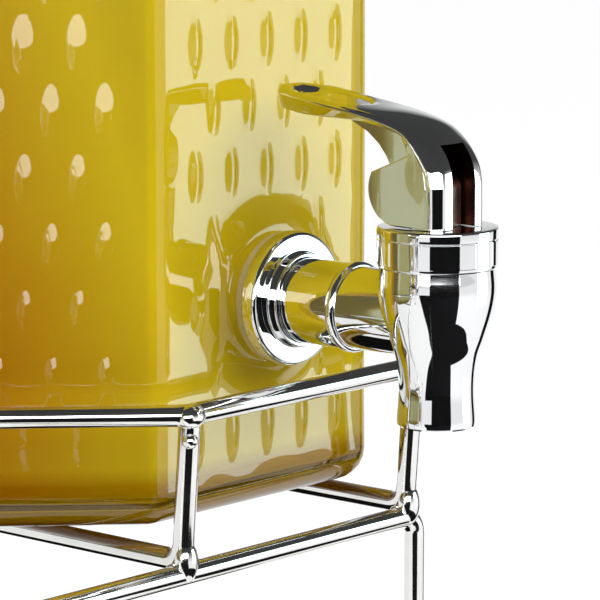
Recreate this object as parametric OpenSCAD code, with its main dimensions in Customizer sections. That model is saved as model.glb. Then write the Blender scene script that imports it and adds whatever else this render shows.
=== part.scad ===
// Triple drink dispenser: three octagonal glass jars with lever taps in one wire rack.
// X runs along the row, the taps face -Y, Z is up and the feet stand on Z = 0.

/* [Rack] */
// Diameter of every rack wire
wire_d = 5; // [4:0.5:6]
// Height of the beam's centre line above the floor
beam_h = 100; // [70:1:160]
// Height of the guard rail's centre line above the beam's
rail_h = 37; // [30:1:48]
// From a jar's face out to the guard rail's centre line
rail_gap = 12.3; // [9:0.1:16]
// From a jar's face out to the beam's centre line
beam_gap = 9.8; // [8:0.1:11]
// Distance between the two posts at a jar's front
post_pitch = 79; // [60:1:82]
// Bend radius of the wires, to the centre line
bend_r = 4.5; // [4:0.1:6]
// Distance from the last post to the leg's centre line
leg_offset = 3.5; // [3:0.1:6]
// How far a welded wire sinks into the wire under it
weld_sink = 1.8; // [1.6:0.1:2.2]
// How far neighbouring guard rails sink into each other
rail_sink = 0.5; // [0.3:0.1:1]
// How far the weld at a corner stands out from its wires
weld_bead = 0.15; // [0.1:0.05:0.4]
// Height of a rubber foot cap
cap_h = 14; // [8:1:25]
// Thickness of a foot cap's wall and floor
cap_wall = 2; // [1.5:0.1:3]

/* [Jar] */
// Width across the octagon's flats
jar_af = 174; // [150:1:190]
// Radius of the jar's upright corners and of its bottom edge
jar_corner_r = 8; // [7:0.5:14]
// Wall thickness of the glass
glass_wall = 5; // [4:0.1:7]
// Thickness of the glass base
glass_base = 7; // [5:0.1:12]
// Height of the octagonal body, up to the shoulder
body_h = 158; // [140:1:220]
// Height of the shoulder between body and neck
shoulder_h = 20; // [15:1:35]
// Inside diameter of the neck
neck_bore_d = 112; // [90:1:120]
// Wall thickness of the neck
neck_wall = 6; // [5:0.1:8]
// Height of the neck, lip included
neck_h = 18; // [14:1:30]
// How far the lip stands out from the neck
lip_out = 3; // [2:0.1:5]
// Height of the lip
lip_h = 6; // [4:0.1:8]
// Height of the foot ring under the base
foot_h = 2; // [1.5:0.1:3]
// From the jar's face in to the foot ring
foot_inset = 16; // [14:0.5:22]
// Width of the foot ring
foot_w = 12; // [8:0.5:20]

/* [Lid] */
// How far the lid's edge stands out from the lip
lid_out = 2; // [0:0.1:5]
// Thickness of the lid's glass
lid_t = 5; // [4:0.1:7]
// Rise of the lid's dome
lid_dome = 9; // [4:0.5:16]
// Radius of the flat on top of the dome
lid_flat_r = 11; // [10:0.5:14]
// Depth of the lid's plug below the lip
plug_h = 9; // [8:0.5:12]
// Wall thickness of the plug
plug_wall = 5; // [4:0.1:7]
// From the plug out to the neck
plug_gap = 4; // [3:0.1:5]
// Height of the seal ring on the plug
seal_h = 4; // [3:0.1:5]
// Depth of the seal's groove in the plug
seal_groove = 1.5; // [1:0.1:2]
// Radius of the knob's ball
knob_r = 13; // [10:0.5:16]
// Radius of the knob's foot
knob_foot_r = 9; // [7:0.5:10]
// Height of the knob's foot
knob_foot_h = 3; // [2:0.5:5]
// Radius of the knob's neck
knob_neck_r = 5.5; // [5:0.5:7]
// Height of the knob's neck
knob_neck_h = 6; // [4:0.5:10]
// Diameter of the knob's screw
screw_d = 5; // [4:0.5:6]
// Diameter of the screw's head
screw_head_d = 10; // [9:0.5:12]
// Height of the screw's head
screw_head_h = 3; // [2:0.5:4]
// Depth of the screw in the knob
screw_grip = 14; // [10:0.5:18]

/* [Tap body] */
// Height of the tap's tube above the jar's base
tap_z = 50.2; // [46:0.1:60]
// From the jar's face out to the tap's upright axis
tap_reach = 51; // [50.5:0.1:60]
// Height of the smooth glass pad under the tap
pad_h = 3.5; // [2:0.1:4]
// Radius of the smooth glass pad
pad_r = 19; // [18:0.5:22]
// Radius of the threaded shank
shank_r = 8; // [7:0.1:9]
// Clearance of the shank in the glass
shank_clear = 0.6; // [0.3:0.1:1]
// Radius of the water way
way_r = 4; // [3:0.1:4]
// Radius of the tube
tube_r = 9.9; // [9.6:0.1:10.3]
// Height of the bead above the tube
bead_rise = 0.5; // [0.3:0.1:1]
// Width of the bead
bead_w = 2.4; // [1.5:0.1:4]
// From the tap's axis to the bead
bead_y = 23.5; // [19:0.1:26]
// Largest radius of the tap body
body_r = 13.3; // [12.8:0.1:13.4]
// Radius of the nozzle's waist
waist_r = 8.6; // [8.4:0.1:9.2]
// Radius of the nozzle's mouth
mouth_r = 8.9; // [8.6:0.1:9.6]
// From the tube's axis up to the collar
collar_z = 11.6; // [10.8:0.1:14]
// From the tube's axis down to the nozzle's mouth
mouth_z = 24.3; // [22:0.1:30]
// Radius of the valve chamber
chamber_r = 8; // [7.6:0.1:8.2]
// From the tube's axis down to the valve seat
seat_z = 4.4; // [4.1:0.1:4.8]
// Radius of the outlet below the seat
outlet_r = 5.8; // [5:0.1:6.2]

/* [Tap fittings] */
// Thickness of the gasket outside the glass
gasket_t = 2.6; // [1.5:0.1:3]
// Radius of the gaskets
gasket_r = 15; // [13:0.1:15.5]
// Thickness of the flange
flange_t = 4; // [3:0.1:4.5]
// Radius of the flange
flange_r = 15.6; // [15:0.1:17]
// Radius of the flange's boss
flange_boss_r = 11; // [10.8:0.1:12]
// Length of the flange's boss
flange_boss_h = 2.5; // [1.5:0.1:4]
// Thickness of the gasket inside the glass
inner_gasket_t = 2.5; // [1.5:0.1:4]
// Thickness of the nut inside the jar
nut_t = 8; // [6:0.1:10]
// Radius of the nut across its corners
nut_r = 14; // [13:0.1:16]
// How far the shank stands out of the nut
shank_end = 3; // [2:0.1:6]
// Radius of the collar
collar_r = 13.4; // [13.4:0.1:14.5]
// Height of the collar
collar_h = 9.2; // [8:0.1:11]
// How far the collar's rim stands out
rim_out = 0.25; // [0.2:0.05:0.6]
// Height of the collar's rim
rim_h = 2.5; // [2:0.1:4]
// Depth of the collar's spigot in the chamber
spigot_h = 4; // [3:0.1:5]
// Number of grip pads round the collar
pad_count = 4; // [3:1:10]
// Share of the collar's turn that the grip pads take
pad_share = 0.67; // [0.4:0.01:0.8]

/* [Lever and stem] */
// Radius of the stem
stem_r = 3; // [2.5:0.1:3.5]
// Width of the stem's eye along the pin
eye_w = 7.4; // [6:0.1:8]
// Outer radius of the stem's eye
eye_r = 4; // [3.6:0.1:4.2]
// Radius of the seat seal
seal_r = 7.2; // [6.8:0.1:7.3]
// Thickness of the seat seal
seal_t = 3; // [2:0.1:4]
// Radius of the lever's pin
pin_r = 2; // [1.5:0.1:2.4]
// Length of the lever's pin
pin_l = 14; // [11:0.5:15]
// Width of the lever
lever_w = 18; // [16:0.1:20]
// Radius of the lever's cam
cam_r = 8; // [7.6:0.1:9]
// From the pin back to the cam's centre, which is also the lift for each radian
cam_off = 5; // [4:0.1:5.5]
// From the pin to the lever's front face
lever_front = 7.4; // [6.4:0.1:8]
// From the pin to the tip of the thumb rest
lever_reach = 44.5; // [36:0.5:45]
// Height of the thumb rest's tip above the pin
lever_rise = 20; // [18:0.5:24]
// Thickness of the thumb rest
rest_t = 3; // [2:0.1:4]
// From the pin back to the top of the lever's brow
brow_back = 10; // [8:0.5:12]
// Height from the thumb rest's tip down to the corner that the brow rounds off
brow_drop = 8.5; // [7:0.5:10]
// Height of the slot in the lever's front
slot_h = 18.4; // [16:0.1:19]
// Depth of the slot behind the pin
slot_back = 7.6; // [7:0.1:8]

/* [Clearances] */
// Gap under a piece that rests on another and lifts off
rest_gap = 0.2; // [0.1:0.05:0.4]
// Radial gap of a pin that turns in its hole
run_gap = 0.05; // [0.02:0.01:0.1]
// Gap beside a piece that slides past another
slide_gap = 0.35; // [0.3:0.05:0.6]
// Radial gap of a thread or a pressed pin
thread_gap = 0.03; // [0.02:0.01:0.05]

/* [Hidden] */
$fn = 96;
UNITS = ["left", "middle", "right"];
UNIT_PIECES = ["jar", "jar_base", "lid", "lid_seal", "lid_knob", "lid_screw",
    "tap_body", "tap_flange", "tap_gasket", "tap_inner_gasket", "tap_nut", "tap_collar",
    "tap_stem", "tap_seat_seal", "tap_lever", "tap_pin", "guard_rail", "cradle_wires"];
NODES = concat(["front_frame", "rear_frame", "foot_caps"],
    [for (p = UNIT_PIECES) for (u = UNITS) str(p, "_", u)]);
node = "all";

wire_r = wire_d / 2;
jar_r = jar_af / 2;
rail_r = jar_r + rail_gap;
beam_y = jar_r + beam_gap;
unit_pitch = 2 * rail_r + wire_d - rail_sink;
last_post_x = unit_pitch + post_pitch / 2;
leg_x = last_post_x + leg_offset;

run_z = wire_d - weld_sink;
run_half = beam_y - bend_r;
post_h = rail_h - run_z - bend_r;
flare = atan((rail_r - beam_y) / post_h);
post_l = (post_h - wire_r + weld_sink) / cos(flare);
jar_z = beam_h + run_z + wire_r + rest_gap + foot_h;
neck_z = body_h + shoulder_h;
lip_z = neck_z + neck_h;
neck_r = neck_bore_d / 2;
lip_r = neck_r + neck_wall + lip_out;
inner_corner_r = max(jar_corner_r - glass_wall, 1);
split_z = glass_base + inner_corner_r / 3;

lid_z = lip_z + rest_gap;
lid_r = lip_r + lid_out;
plug_r = neck_r - plug_gap;
groove_r = plug_r - seal_groove;
lid_top = lid_t + lid_dome;

tap_y = -(jar_r + tap_reach);
flange_front = tap_reach - pad_h - gasket_t - flange_t;
shank_tip = tap_reach + glass_wall + inner_gasket_t + nut_t + shank_end;
collar_top = collar_z + collar_h;
pin_z = collar_top + rest_gap + cam_r;
lever_base = -cam_r;

front_reach = -tap_y + collar_r + rim_out;
rear_reach = rail_r + wire_r + weld_bead;
origin_dy = (front_reach - rear_reach) / 2;

// Colours as the photograph shows them
CHROME = "#c9ccd0";
GLASS = [0.86, 0.9, 0.88, 0.45];
SILICONE = "#e8e8e4";
RUBBER = "#2c2c2e";

function wanted(name) = node == "all" || node == name;
function unit_x(i) = (i - 1) * unit_pitch;
function oct_point(af, k) = af / 2 / cos(22.5) * [cos(22.5 + 45 * k), sin(22.5 + 45 * k)];
function swing(a, b, t) = b + (a - b) * (1 + cos(180 * t)) / 2;
function bezier(a, b, c, n) =
    [for (k = [0:n]) let (t = k / n) (1 - t) * (1 - t) * a + 2 * t * (1 - t) * b + t * t * c];

// Places a piece at jar number i, with Z = 0 at height z
module at_unit(i, z = 0) {
    translate([unit_x(i), origin_dy, z]) children();
}

// Places a piece at the tap of jar number i, with its upright axis on Z and the tube's axis at Z = 0
module at_tap(i) {
    at_unit(i, jar_z + tap_z) translate([0, tap_y, 0]) children();
}

// A cylinder along +Y from y0 to y1
module along_y(r, y0, y1) {
    translate([0, y0, 0]) rotate([-90, 0, 0]) cylinder(r = r, h = y1 - y0);
}

// A flat ring along +Y from y0 to y1
module ring_y(r_out, r_in, y0, y1) {
    difference() {
        along_y(r_out, y0, y1);
        along_y(r_in, y0 - 1, y1 + 1);
    }
}

// A quarter turn of wire about Z, from +X to +Y
module wire_bend() {
    rotate_extrude(angle = 90) translate([bend_r, 0]) circle(r = wire_r);
}

// The weld where two straight wires meet at an angle
module weld_ball() {
    sphere(r = wire_r + weld_bead);
}

// Rack

// One leg frame: beam, two bends and two legs, with the beam's centre line on Y = 0
module leg_frame() {
    beam_half = leg_x - bend_r;
    color(CHROME) {
        translate([0, 0, beam_h]) rotate([0, 90, 0]) cylinder(r = wire_r, h = 2 * beam_half, center = true);
        for (side = [0, 1]) mirror([side, 0, 0]) {
            translate([beam_half, 0, beam_h - bend_r]) rotate([90, 0, 0]) wire_bend();
            translate([leg_x, 0, cap_wall]) cylinder(r = wire_r, h = beam_h - bend_r - cap_wall);
        }
    }
}

module front_frame() {
    translate([0, origin_dy - beam_y, 0]) leg_frame();
}

module rear_frame() {
    translate([0, origin_dy + beam_y, 0]) leg_frame();
}

module foot_caps() {
    color(RUBBER) for (x = [-leg_x, leg_x], y = [-beam_y, beam_y]) translate([x, origin_dy + y, 0]) difference() {
        cylinder(r = wire_r + cap_wall, h = cap_h);
        translate([0, 0, cap_wall]) cylinder(r = wire_r + thread_gap, h = cap_h);
    }
}

// The octagonal guard rail of one jar: eight straights with a weld at each corner
module guard_rail(i) {
    half_side = rail_r * tan(22.5);
    color(CHROME) at_unit(i, beam_h + rail_h) for (k = [0:7]) rotate([0, 0, 45 * k]) {
        translate([rail_r, 0, 0]) rotate([90, 0, 0]) cylinder(r = wire_r, h = 2 * half_side, center = true);
        translate([rail_r, half_side, 0]) weld_ball();
    }
}

// One end of a cradle wire: the bend up from its run and the flared post, with the run's centre line on X
module cradle_end() {
    translate([run_half, 0, bend_r]) rotate([90, 0, 0]) rotate([0, 0, -90]) wire_bend();
    translate([run_half + bend_r, 0, bend_r]) {
        weld_ball();
        rotate([0, flare, 0]) cylinder(r = wire_r, h = post_l);
    }
}

module cradle_wires(i) {
    color(CHROME) at_unit(i, beam_h + run_z) for (x = [-post_pitch / 2, post_pitch / 2]) translate([x, 0, 0]) {
        rotate([90, 0, 0]) cylinder(r = wire_r, h = 2 * run_half, center = true);
        for (end = [-90, 90]) rotate([0, 0, end]) cradle_end();
    }
}

// Jar

// The jar's form: eight round-ended columns and the round root of the neck, in one hull
module jar_form(af, r, z0, z1, root_r, root_z) {
    hull() {
        for (k = [0:7]) translate(oct_point(af - 2 * r, k)) {
            translate([0, 0, z0 + r]) cylinder(r = r, h = z1 - z0 - 2 * r, $fn = 32);
            for (z = [z0 + r, z1 - r]) translate([0, 0, z]) sphere(r = r, $fn = 32);
        }
        translate([0, 0, root_z - 1]) cylinder(r = root_r, h = 1, $fn = 32);
    }
}

module octagon_plate(af, h) {
    rotate([0, 0, 22.5]) cylinder(r = af / 2 / cos(22.5), h = h, $fn = 8);
}

// A block over the whole width of a jar, used to cut it at a level
module level_block(z, h) {
    translate([-jar_af, -jar_af, z]) cube([2 * jar_af, 2 * jar_af, h]);
}

// The cavity of a jar
module jar_cavity() {
    jar_form(jar_af - 2 * glass_wall, inner_corner_r, glass_base, body_h, neck_r, neck_z);
}

// The walls, shoulder, neck and lip of a jar, down to the level where its base begins
module jar(i) {
    color(GLASS) at_unit(i, jar_z) difference() {
        union() {
            jar_form(jar_af, jar_corner_r, 0, body_h, neck_r + neck_wall, neck_z);
            translate([0, 0, neck_z - lip_out]) cylinder(r = neck_r + neck_wall, h = neck_h + lip_out);
            translate([0, 0, lip_z - lip_h]) cylinder(r = lip_r, h = lip_h);
            translate([0, 0, tap_z]) along_y(pad_r, -jar_r - pad_h, -jar_r + glass_wall / 2);
        }
        jar_cavity();
        translate([0, 0, body_h]) cylinder(r = neck_r, h = shoulder_h + neck_h + 1);
        translate([0, 0, tap_z]) along_y(shank_r + shank_clear, -jar_r - pad_h - 1, -jar_r + glass_wall + 1);
        level_block(split_z - jar_af, jar_af);
    }
}

// The base of a jar with its foot ring
module jar_base(i) {
    foot_af = jar_af - 2 * foot_inset;
    color(GLASS) at_unit(i, jar_z) difference() {
        union() {
            jar_form(jar_af, jar_corner_r, 0, body_h, neck_r + neck_wall, neck_z);
            translate([0, 0, -foot_h]) octagon_plate(foot_af, foot_h + glass_base / 2);
        }
        jar_cavity();
        translate([0, 0, -foot_h - 1]) octagon_plate(foot_af - 2 * foot_w, foot_h + 1);
        level_block(split_z, jar_af + lip_z);
    }
}

// Lid

module lid(i) {
    n = 12;
    slope = lid_r - lid_flat_r;
    dome = [for (k = [0:n]) [lid_r - slope * k / n, swing(lid_t, lid_top, k / n)]];
    hollow_r = plug_r - plug_wall;
    hollow = [for (k = [0:n]) [lid_flat_r + (hollow_r - lid_flat_r) * k / n, swing(lid_dome, 0, k / n)]];
    color(GLASS) at_unit(i, jar_z + lid_z) rotate_extrude() difference() {
        polygon(concat([[0, lid_dome]], hollow, [[hollow_r, -plug_h], [plug_r, -plug_h], [plug_r, 0], [lid_r, 0]],
            dome, [[0, lid_top]]));
        translate([groove_r, -plug_h / 2 - seal_h / 2]) square([seal_groove + 1, seal_h]);
        square([screw_d / 2 + run_gap, lid_top + 1]);
    }
}

module lid_seal(i) {
    color(SILICONE) at_unit(i, jar_z + lid_z - plug_h / 2) rotate_extrude()
        translate([groove_r, -seal_h / 2]) square([neck_r - slide_gap - groove_r, seal_h]);
}

module lid_knob(i) {
    ball_z = knob_foot_h + knob_neck_h + knob_r * 0.75;
    color(CHROME) at_unit(i, jar_z + lid_z + lid_top) difference() {
        union() {
            cylinder(r = knob_foot_r, h = knob_foot_h);
            cylinder(r = knob_neck_r, h = ball_z);
            translate([0, 0, ball_z]) sphere(r = knob_r);
        }
        translate([0, 0, -1]) cylinder(d = screw_d + 2 * thread_gap, h = screw_grip + 2);
    }
}

module lid_screw(i) {
    color(CHROME) at_unit(i, jar_z + lid_z + lid_dome) {
        translate([0, 0, -screw_head_h]) cylinder(d = screw_head_d, h = screw_head_h);
        cylinder(d = screw_d, h = lid_t + screw_grip);
    }
}

// Tap

// Half outline of the upright tap body, from the collar down to the mouth
module tap_outline() {
    n = 16;
    swell = (collar_z + mouth_z) / 9;
    waist = (collar_z + mouth_z) * 0.72;
    flank = [for (k = [0:n]) [swing(body_r, waist_r, k / n), collar_z - swell - (waist - swell) * k / n]];
    flare_out = [for (k = [1:4]) [swing(waist_r, mouth_r, k / 4), collar_z - waist - (collar_z + mouth_z - waist) * k / 4]];
    polygon(concat([[0, collar_z], [body_r - 0.3, collar_z]], flank, flare_out, [[0, -mouth_z]]));
}

module tap_body(i) {
    color(CHROME) at_tap(i) difference() {
        union() {
            rotate_extrude() tap_outline();
            along_y(tube_r - 0.4, 0, bead_y);
            along_y(tube_r, bead_y, flange_front);
            along_y(tube_r + bead_rise, bead_y - bead_w / 2, bead_y + bead_w / 2);
            along_y(shank_r, flange_front, shank_tip);
        }
        along_y(way_r, 0, shank_tip + 1);
        translate([0, 0, -seat_z]) cylinder(r = chamber_r, h = seat_z + collar_z + 1);
        translate([0, 0, -mouth_z - 1]) cylinder(r = outlet_r, h = mouth_z);
    }
}

module tap_flange(i) {
    chamfer = flange_t / 4;
    color(CHROME) at_tap(i) translate([0, flange_front, 0]) rotate([-90, 0, 0]) rotate_extrude() polygon([
        [shank_r + thread_gap, 0], [tube_r + run_gap, 0], [tube_r + run_gap, -flange_boss_h],
        [flange_boss_r, -flange_boss_h], [flange_boss_r, 0], [flange_r - chamfer, 0], [flange_r, chamfer],
        [flange_r, flange_t], [shank_r + thread_gap, flange_t]]);
}

module tap_gasket(i) {
    color(SILICONE) at_tap(i)
        ring_y(gasket_r, shank_r + thread_gap, flange_front + flange_t, flange_front + flange_t + gasket_t);
}

module tap_inner_gasket(i) {
    inside = tap_reach + glass_wall;
    color(SILICONE) at_tap(i) ring_y(gasket_r - 1, shank_r + thread_gap, inside, inside + inner_gasket_t);
}

module tap_nut(i) {
    near = tap_reach + glass_wall + inner_gasket_t;
    color(SILICONE) at_tap(i) difference() {
        translate([0, near, 0]) rotate([-90, 0, 0]) cylinder(r = nut_r, h = nut_t, $fn = 6);
        along_y(shank_r + thread_gap, near - 1, near + nut_t + 1);
    }
}

module tap_collar(i) {
    rib_r = collar_r + rim_out - 0.05;
    rib_h = collar_h - rim_h;
    rib_w = 2 * collar_r * sin(180 / pad_count * pad_share);
    color(CHROME) at_tap(i) difference() {
        union() {
            translate([0, 0, collar_z]) cylinder(r = collar_r, h = collar_h);
            translate([0, 0, collar_top - rim_h]) cylinder(r = collar_r + rim_out, h = rim_h);
            translate([0, 0, collar_z - spigot_h]) cylinder(r = chamber_r - thread_gap, h = spigot_h + 1);
            translate([0, 0, collar_z + 1]) intersection() {
                cylinder(r = rib_r, h = rib_h);
                for (k = [0:pad_count - 1]) rotate([0, 0, 360 / pad_count * (k + 0.5)])
                    translate([0, -rib_w / 2, 0]) cube([2 * collar_r, rib_w, rib_h]);
            }
        }
        translate([0, 0, collar_z - spigot_h - 1]) cylinder(r = stem_r + slide_gap, h = spigot_h + collar_h + 2);
    }
}

module tap_stem(i) {
    eye_base = collar_top + rest_gap;
    color(CHROME) at_tap(i) difference() {
        union() {
            translate([0, 0, -seat_z + rest_gap + 1]) cylinder(r = stem_r, h = eye_base + seat_z);
            translate([-eye_w / 2, -eye_r, eye_base]) cube([eye_w, 2 * eye_r, pin_z - eye_base]);
            translate([-eye_w / 2, 0, pin_z]) rotate([0, 90, 0]) cylinder(r = eye_r, h = eye_w);
        }
        translate([-eye_w, 0, pin_z]) rotate([0, 90, 0]) cylinder(r = pin_r + run_gap, h = 2 * eye_w);
    }
}

module tap_seat_seal(i) {
    color(SILICONE) at_tap(i) translate([0, 0, -seat_z + rest_gap]) difference() {
        cylinder(r = seal_r, h = seal_t);
        translate([0, 0, 1]) cylinder(r = stem_r, h = seal_t);
    }
}

// Side outline of the lever: X is the distance behind the pin and Y the height above it
module lever_outline() {
    cam_back = cam_off + cam_r;
    shoulder = [-lever_front, 2];
    crown = [brow_back, lever_rise - brow_drop / 2];
    tip = [lever_reach, lever_rise];
    pit = [6, 6.5];
    underside = [20, lever_rise - 4.8];
    foot = [[-lever_front, lever_base], [cam_off, lever_base], [cam_back, 0], [cam_back, 3.6]];
    arch = bezier(pit, [12, lever_rise - 7], underside, 8);
    brow = bezier(crown, [-lever_front, lever_rise - brow_drop], shoulder, 10);
    translate([cam_off, 0]) circle(r = cam_r);
    polygon(concat(foot, arch, [tip - [0.5, rest_t], tip], brow));
}

module tap_lever(i) {
    color(CHROME) at_tap(i) translate([0, 0, pin_z]) difference() {
        intersection() {
            rotate([90, 0, 90]) linear_extrude(lever_w, center = true) lever_outline();
            translate([0, 0, lever_base]) linear_extrude(cam_r + lever_rise + 1) {
                translate([-lever_w / 2, -lever_front]) square([lever_w, lever_front + lever_reach - lever_w / 2]);
                translate([0, lever_reach - lever_w / 2]) circle(d = lever_w);
            }
        }
        translate([-eye_w / 2 - slide_gap, -lever_front - 1, lever_base - 1])
            cube([eye_w + 2 * slide_gap, lever_front + slot_back + 1, slot_h + 1]);
        rotate([0, 90, 0]) cylinder(r = pin_r + thread_gap, h = pin_l, center = true);
    }
}

module tap_pin(i) {
    color(CHROME) at_tap(i) translate([0, 0, pin_z]) rotate([0, 90, 0]) cylinder(r = pin_r, h = pin_l, center = true);
}

// The part

if (wanted("front_frame")) front_frame();
if (wanted("rear_frame")) rear_frame();
if (wanted("foot_caps")) foot_caps();
for (i = [0:2]) {
    u = UNITS[i];
    if (wanted(str("guard_rail_", u))) guard_rail(i);
    if (wanted(str("cradle_wires_", u))) cradle_wires(i);
    if (wanted(str("jar_", u))) jar(i);
    if (wanted(str("jar_base_", u))) jar_base(i);
    if (wanted(str("lid_", u))) lid(i);
    if (wanted(str("lid_seal_", u))) lid_seal(i);
    if (wanted(str("lid_knob_", u))) lid_knob(i);
    if (wanted(str("lid_screw_", u))) lid_screw(i);
    if (wanted(str("tap_body_", u))) tap_body(i);
    if (wanted(str("tap_flange_", u))) tap_flange(i);
    if (wanted(str("tap_gasket_", u))) tap_gasket(i);
    if (wanted(str("tap_inner_gasket_", u))) tap_inner_gasket(i);
    if (wanted(str("tap_nut_", u))) tap_nut(i);
    if (wanted(str("tap_collar_", u))) tap_collar(i);
    if (wanted(str("tap_stem_", u))) tap_stem(i);
    if (wanted(str("tap_seat_seal_", u))) tap_seat_seal(i);
    if (wanted(str("tap_lever_", u))) tap_lever(i);
    if (wanted(str("tap_pin_", u))) tap_pin(i);
}
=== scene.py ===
# %% [markdown]
# # A triple drink dispenser
# The object is three eight-sided glass jars of juice in one chromed wire rack, each with a chromed
# tap. The imported CAD model gives the frame that everything here is built around: it is loaded first
# and never moved.

# %% Load the frame
import math

import bmesh
import bpy
import numpy as np
from mathutils import Matrix, Vector


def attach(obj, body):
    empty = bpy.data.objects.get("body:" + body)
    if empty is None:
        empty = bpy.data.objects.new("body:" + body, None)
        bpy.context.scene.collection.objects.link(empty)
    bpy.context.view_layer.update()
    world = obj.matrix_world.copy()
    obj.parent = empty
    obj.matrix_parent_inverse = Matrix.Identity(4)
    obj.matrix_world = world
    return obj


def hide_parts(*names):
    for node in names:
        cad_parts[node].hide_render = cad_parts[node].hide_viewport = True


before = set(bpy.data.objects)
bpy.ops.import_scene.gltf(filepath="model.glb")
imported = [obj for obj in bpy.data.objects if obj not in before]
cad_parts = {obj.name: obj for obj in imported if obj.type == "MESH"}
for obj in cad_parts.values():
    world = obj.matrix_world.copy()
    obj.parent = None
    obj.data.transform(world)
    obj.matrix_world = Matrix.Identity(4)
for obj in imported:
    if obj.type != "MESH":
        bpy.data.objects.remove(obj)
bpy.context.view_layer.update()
scene = bpy.context.scene
scene.view_settings.view_transform = "Standard"

MM = 0.001
UNITS = ("left", "middle", "right")
UNIT_PITCH = 203.1
UNIT_X = {unit: (k - 1) * UNIT_PITCH for k, unit in enumerate(UNITS)}
JAR_Y, JAR_Z = 24.85, 107.9
TAP_Y, TAP_Z = -113.15, 158.1

# %% [markdown]
# ## Camera
# The picture was taken from the left, a little above the taps, with a long lens that holds one jar
# and its tap. The place was worked out from the wires of the rack, whose thickness is known, so the
# camera looks from a point to a point and has no shift.

# %% Camera
CAMERA_AT = Vector((-380.7, -581.65, 282.7)) * MM
CAMERA_LOOKS_AT = Vector((203.75, -71.95, 157.75)) * MM
camera_data = bpy.data.cameras.new("camera")
camera_data.sensor_width = 36.0
camera_data.lens = 203.8
camera_data.clip_start = 0.01
camera = bpy.data.objects.new("camera", camera_data)
camera.location = CAMERA_AT
camera.rotation_euler = (CAMERA_LOOKS_AT - CAMERA_AT).to_track_quat("-Z", "Y").to_euler()
scene.collection.objects.link(camera)
scene.camera = camera
print("camera to target, m:", round((CAMERA_LOOKS_AT - CAMERA_AT).length, 3))

# %% [markdown]
# ## Studio
# Bright metal and clear glass show the room more than themselves. The room here is a white table in
# a dim studio that is paler behind the object. Two soft boxes are there to be mirrored: one in front,
# which is no wider than the flat glass needs, so that the bumps turn away from it, and a long one far
# off beside the camera, which only the upper halves of the bumps turn to. A plain lamp lights the
# juice and the table and is not mirrored. Black cards on the table give the chrome its dark bands;
# nothing but a mirror shows them. The table is white to the eye and still takes the object's shadow.

# %% Node helpers
def shader_tree(owner):
    owner.use_nodes = True
    owner.node_tree.nodes.clear()
    return owner.node_tree


def new_finish(name):
    finish = bpy.data.materials.new(name)
    return finish, shader_tree(finish)


def feed(tree, socket, value):
    """Gives an input a value, or links it to an output."""
    if isinstance(value, bpy.types.NodeSocket):
        tree.links.new(value, socket)
    else:
        socket.default_value = value


def add_node(tree, kind, *terms, **values):
    """A node. Settings and inputs are given by name, an underscore standing for a space, and the
    first inputs can be given in order; an input is a value or an output to link."""
    node = tree.nodes.new(kind)
    for key, value in values.items():
        if hasattr(node, key):
            setattr(node, key, value)
        else:
            feed(tree, node.inputs[key.replace("_", " ")], value)
    for socket, term in zip(node.inputs, terms):
        feed(tree, socket, term)
    return node


def join(tree, *pairs):
    for start, end in pairs:
        tree.links.new(start, end)


def maths(tree, operation, *terms):
    """The output of a Math node; each term is a number or an output."""
    return add_node(tree, "ShaderNodeMath", *terms, operation=operation).outputs[0]


# %% World
world = bpy.data.worlds.new("studio_room")
scene.world = world
room = shader_tree(world)
way = add_node(room, "ShaderNodeTexCoord")
parts = add_node(room, "ShaderNodeSeparateXYZ", way.outputs["Generated"]).outputs
behind = maths(room, "MAXIMUM", parts["Y"], 0.0)
rise = maths(room, "MULTIPLY_ADD", behind, -0.2, parts["Z"])
shade = add_node(room, "ShaderNodeValToRGB", rise)
for place, grey in ((0.0, 0.75), (0.12, 0.45), (0.3, 0.06)):
    mark = shade.color_ramp.elements[0] if place == 0.0 else shade.color_ramp.elements.new(place)
    mark.position, mark.color = place, (grey, grey, grey, 1)
shade.color_ramp.elements[-1].color = (0.05, 0.05, 0.05, 1)
plain = add_node(room, "ShaderNodeBackground", Color=(1, 1, 1, 1), Strength=1.0)
dim = add_node(room, "ShaderNodeBackground", Color=shade.outputs["Color"], Strength=1.0)
soft_fill = add_node(room, "ShaderNodeBackground", Color=(1, 1, 1, 1), Strength=0.22)
seen = add_node(room, "ShaderNodeLightPath").outputs
shiny = maths(room, "MAXIMUM", seen["Is Glossy Ray"], seen["Is Transmission Ray"])
mirrored = add_node(room, "ShaderNodeMixShader", shiny, soft_fill.outputs[0], dim.outputs[0])
pick = add_node(room, "ShaderNodeMixShader", seen["Is Camera Ray"], mirrored.outputs[0], plain.outputs[0])
add_node(room, "ShaderNodeOutputWorld", Surface=pick.outputs[0])
print("nodes in the room's tree:", len(room.nodes))

# %% Floor
FLOOR_HALF = 8.0
floor_mesh = bpy.data.meshes.new("floor")
floor_mesh.from_pydata([(-FLOOR_HALF, -FLOOR_HALF, 0), (FLOOR_HALF, -FLOOR_HALF, 0),
                        (FLOOR_HALF, FLOOR_HALF, 0), (-FLOOR_HALF, FLOOR_HALF, 0)], [], [(0, 1, 2, 3)])
floor = bpy.data.objects.new("floor", floor_mesh)
scene.collection.objects.link(floor)
floor_paint, tree = new_finish("floor_paint")
lit = add_node(tree, "ShaderNodeBsdfDiffuse", Color=(0.9, 0.9, 0.9, 1))
glow = add_node(tree, "ShaderNodeEmission", Color=(1, 1, 1, 1), Strength=0.93)
dull = add_node(tree, "ShaderNodeBsdfDiffuse", Color=(0.25, 0.25, 0.25, 1))
both = add_node(tree, "ShaderNodeAddShader", glow.outputs[0], dull.outputs[0])
seen = add_node(tree, "ShaderNodeLightPath").outputs
shiny = maths(tree, "MAXIMUM", seen["Is Glossy Ray"], seen["Is Transmission Ray"])
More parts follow.
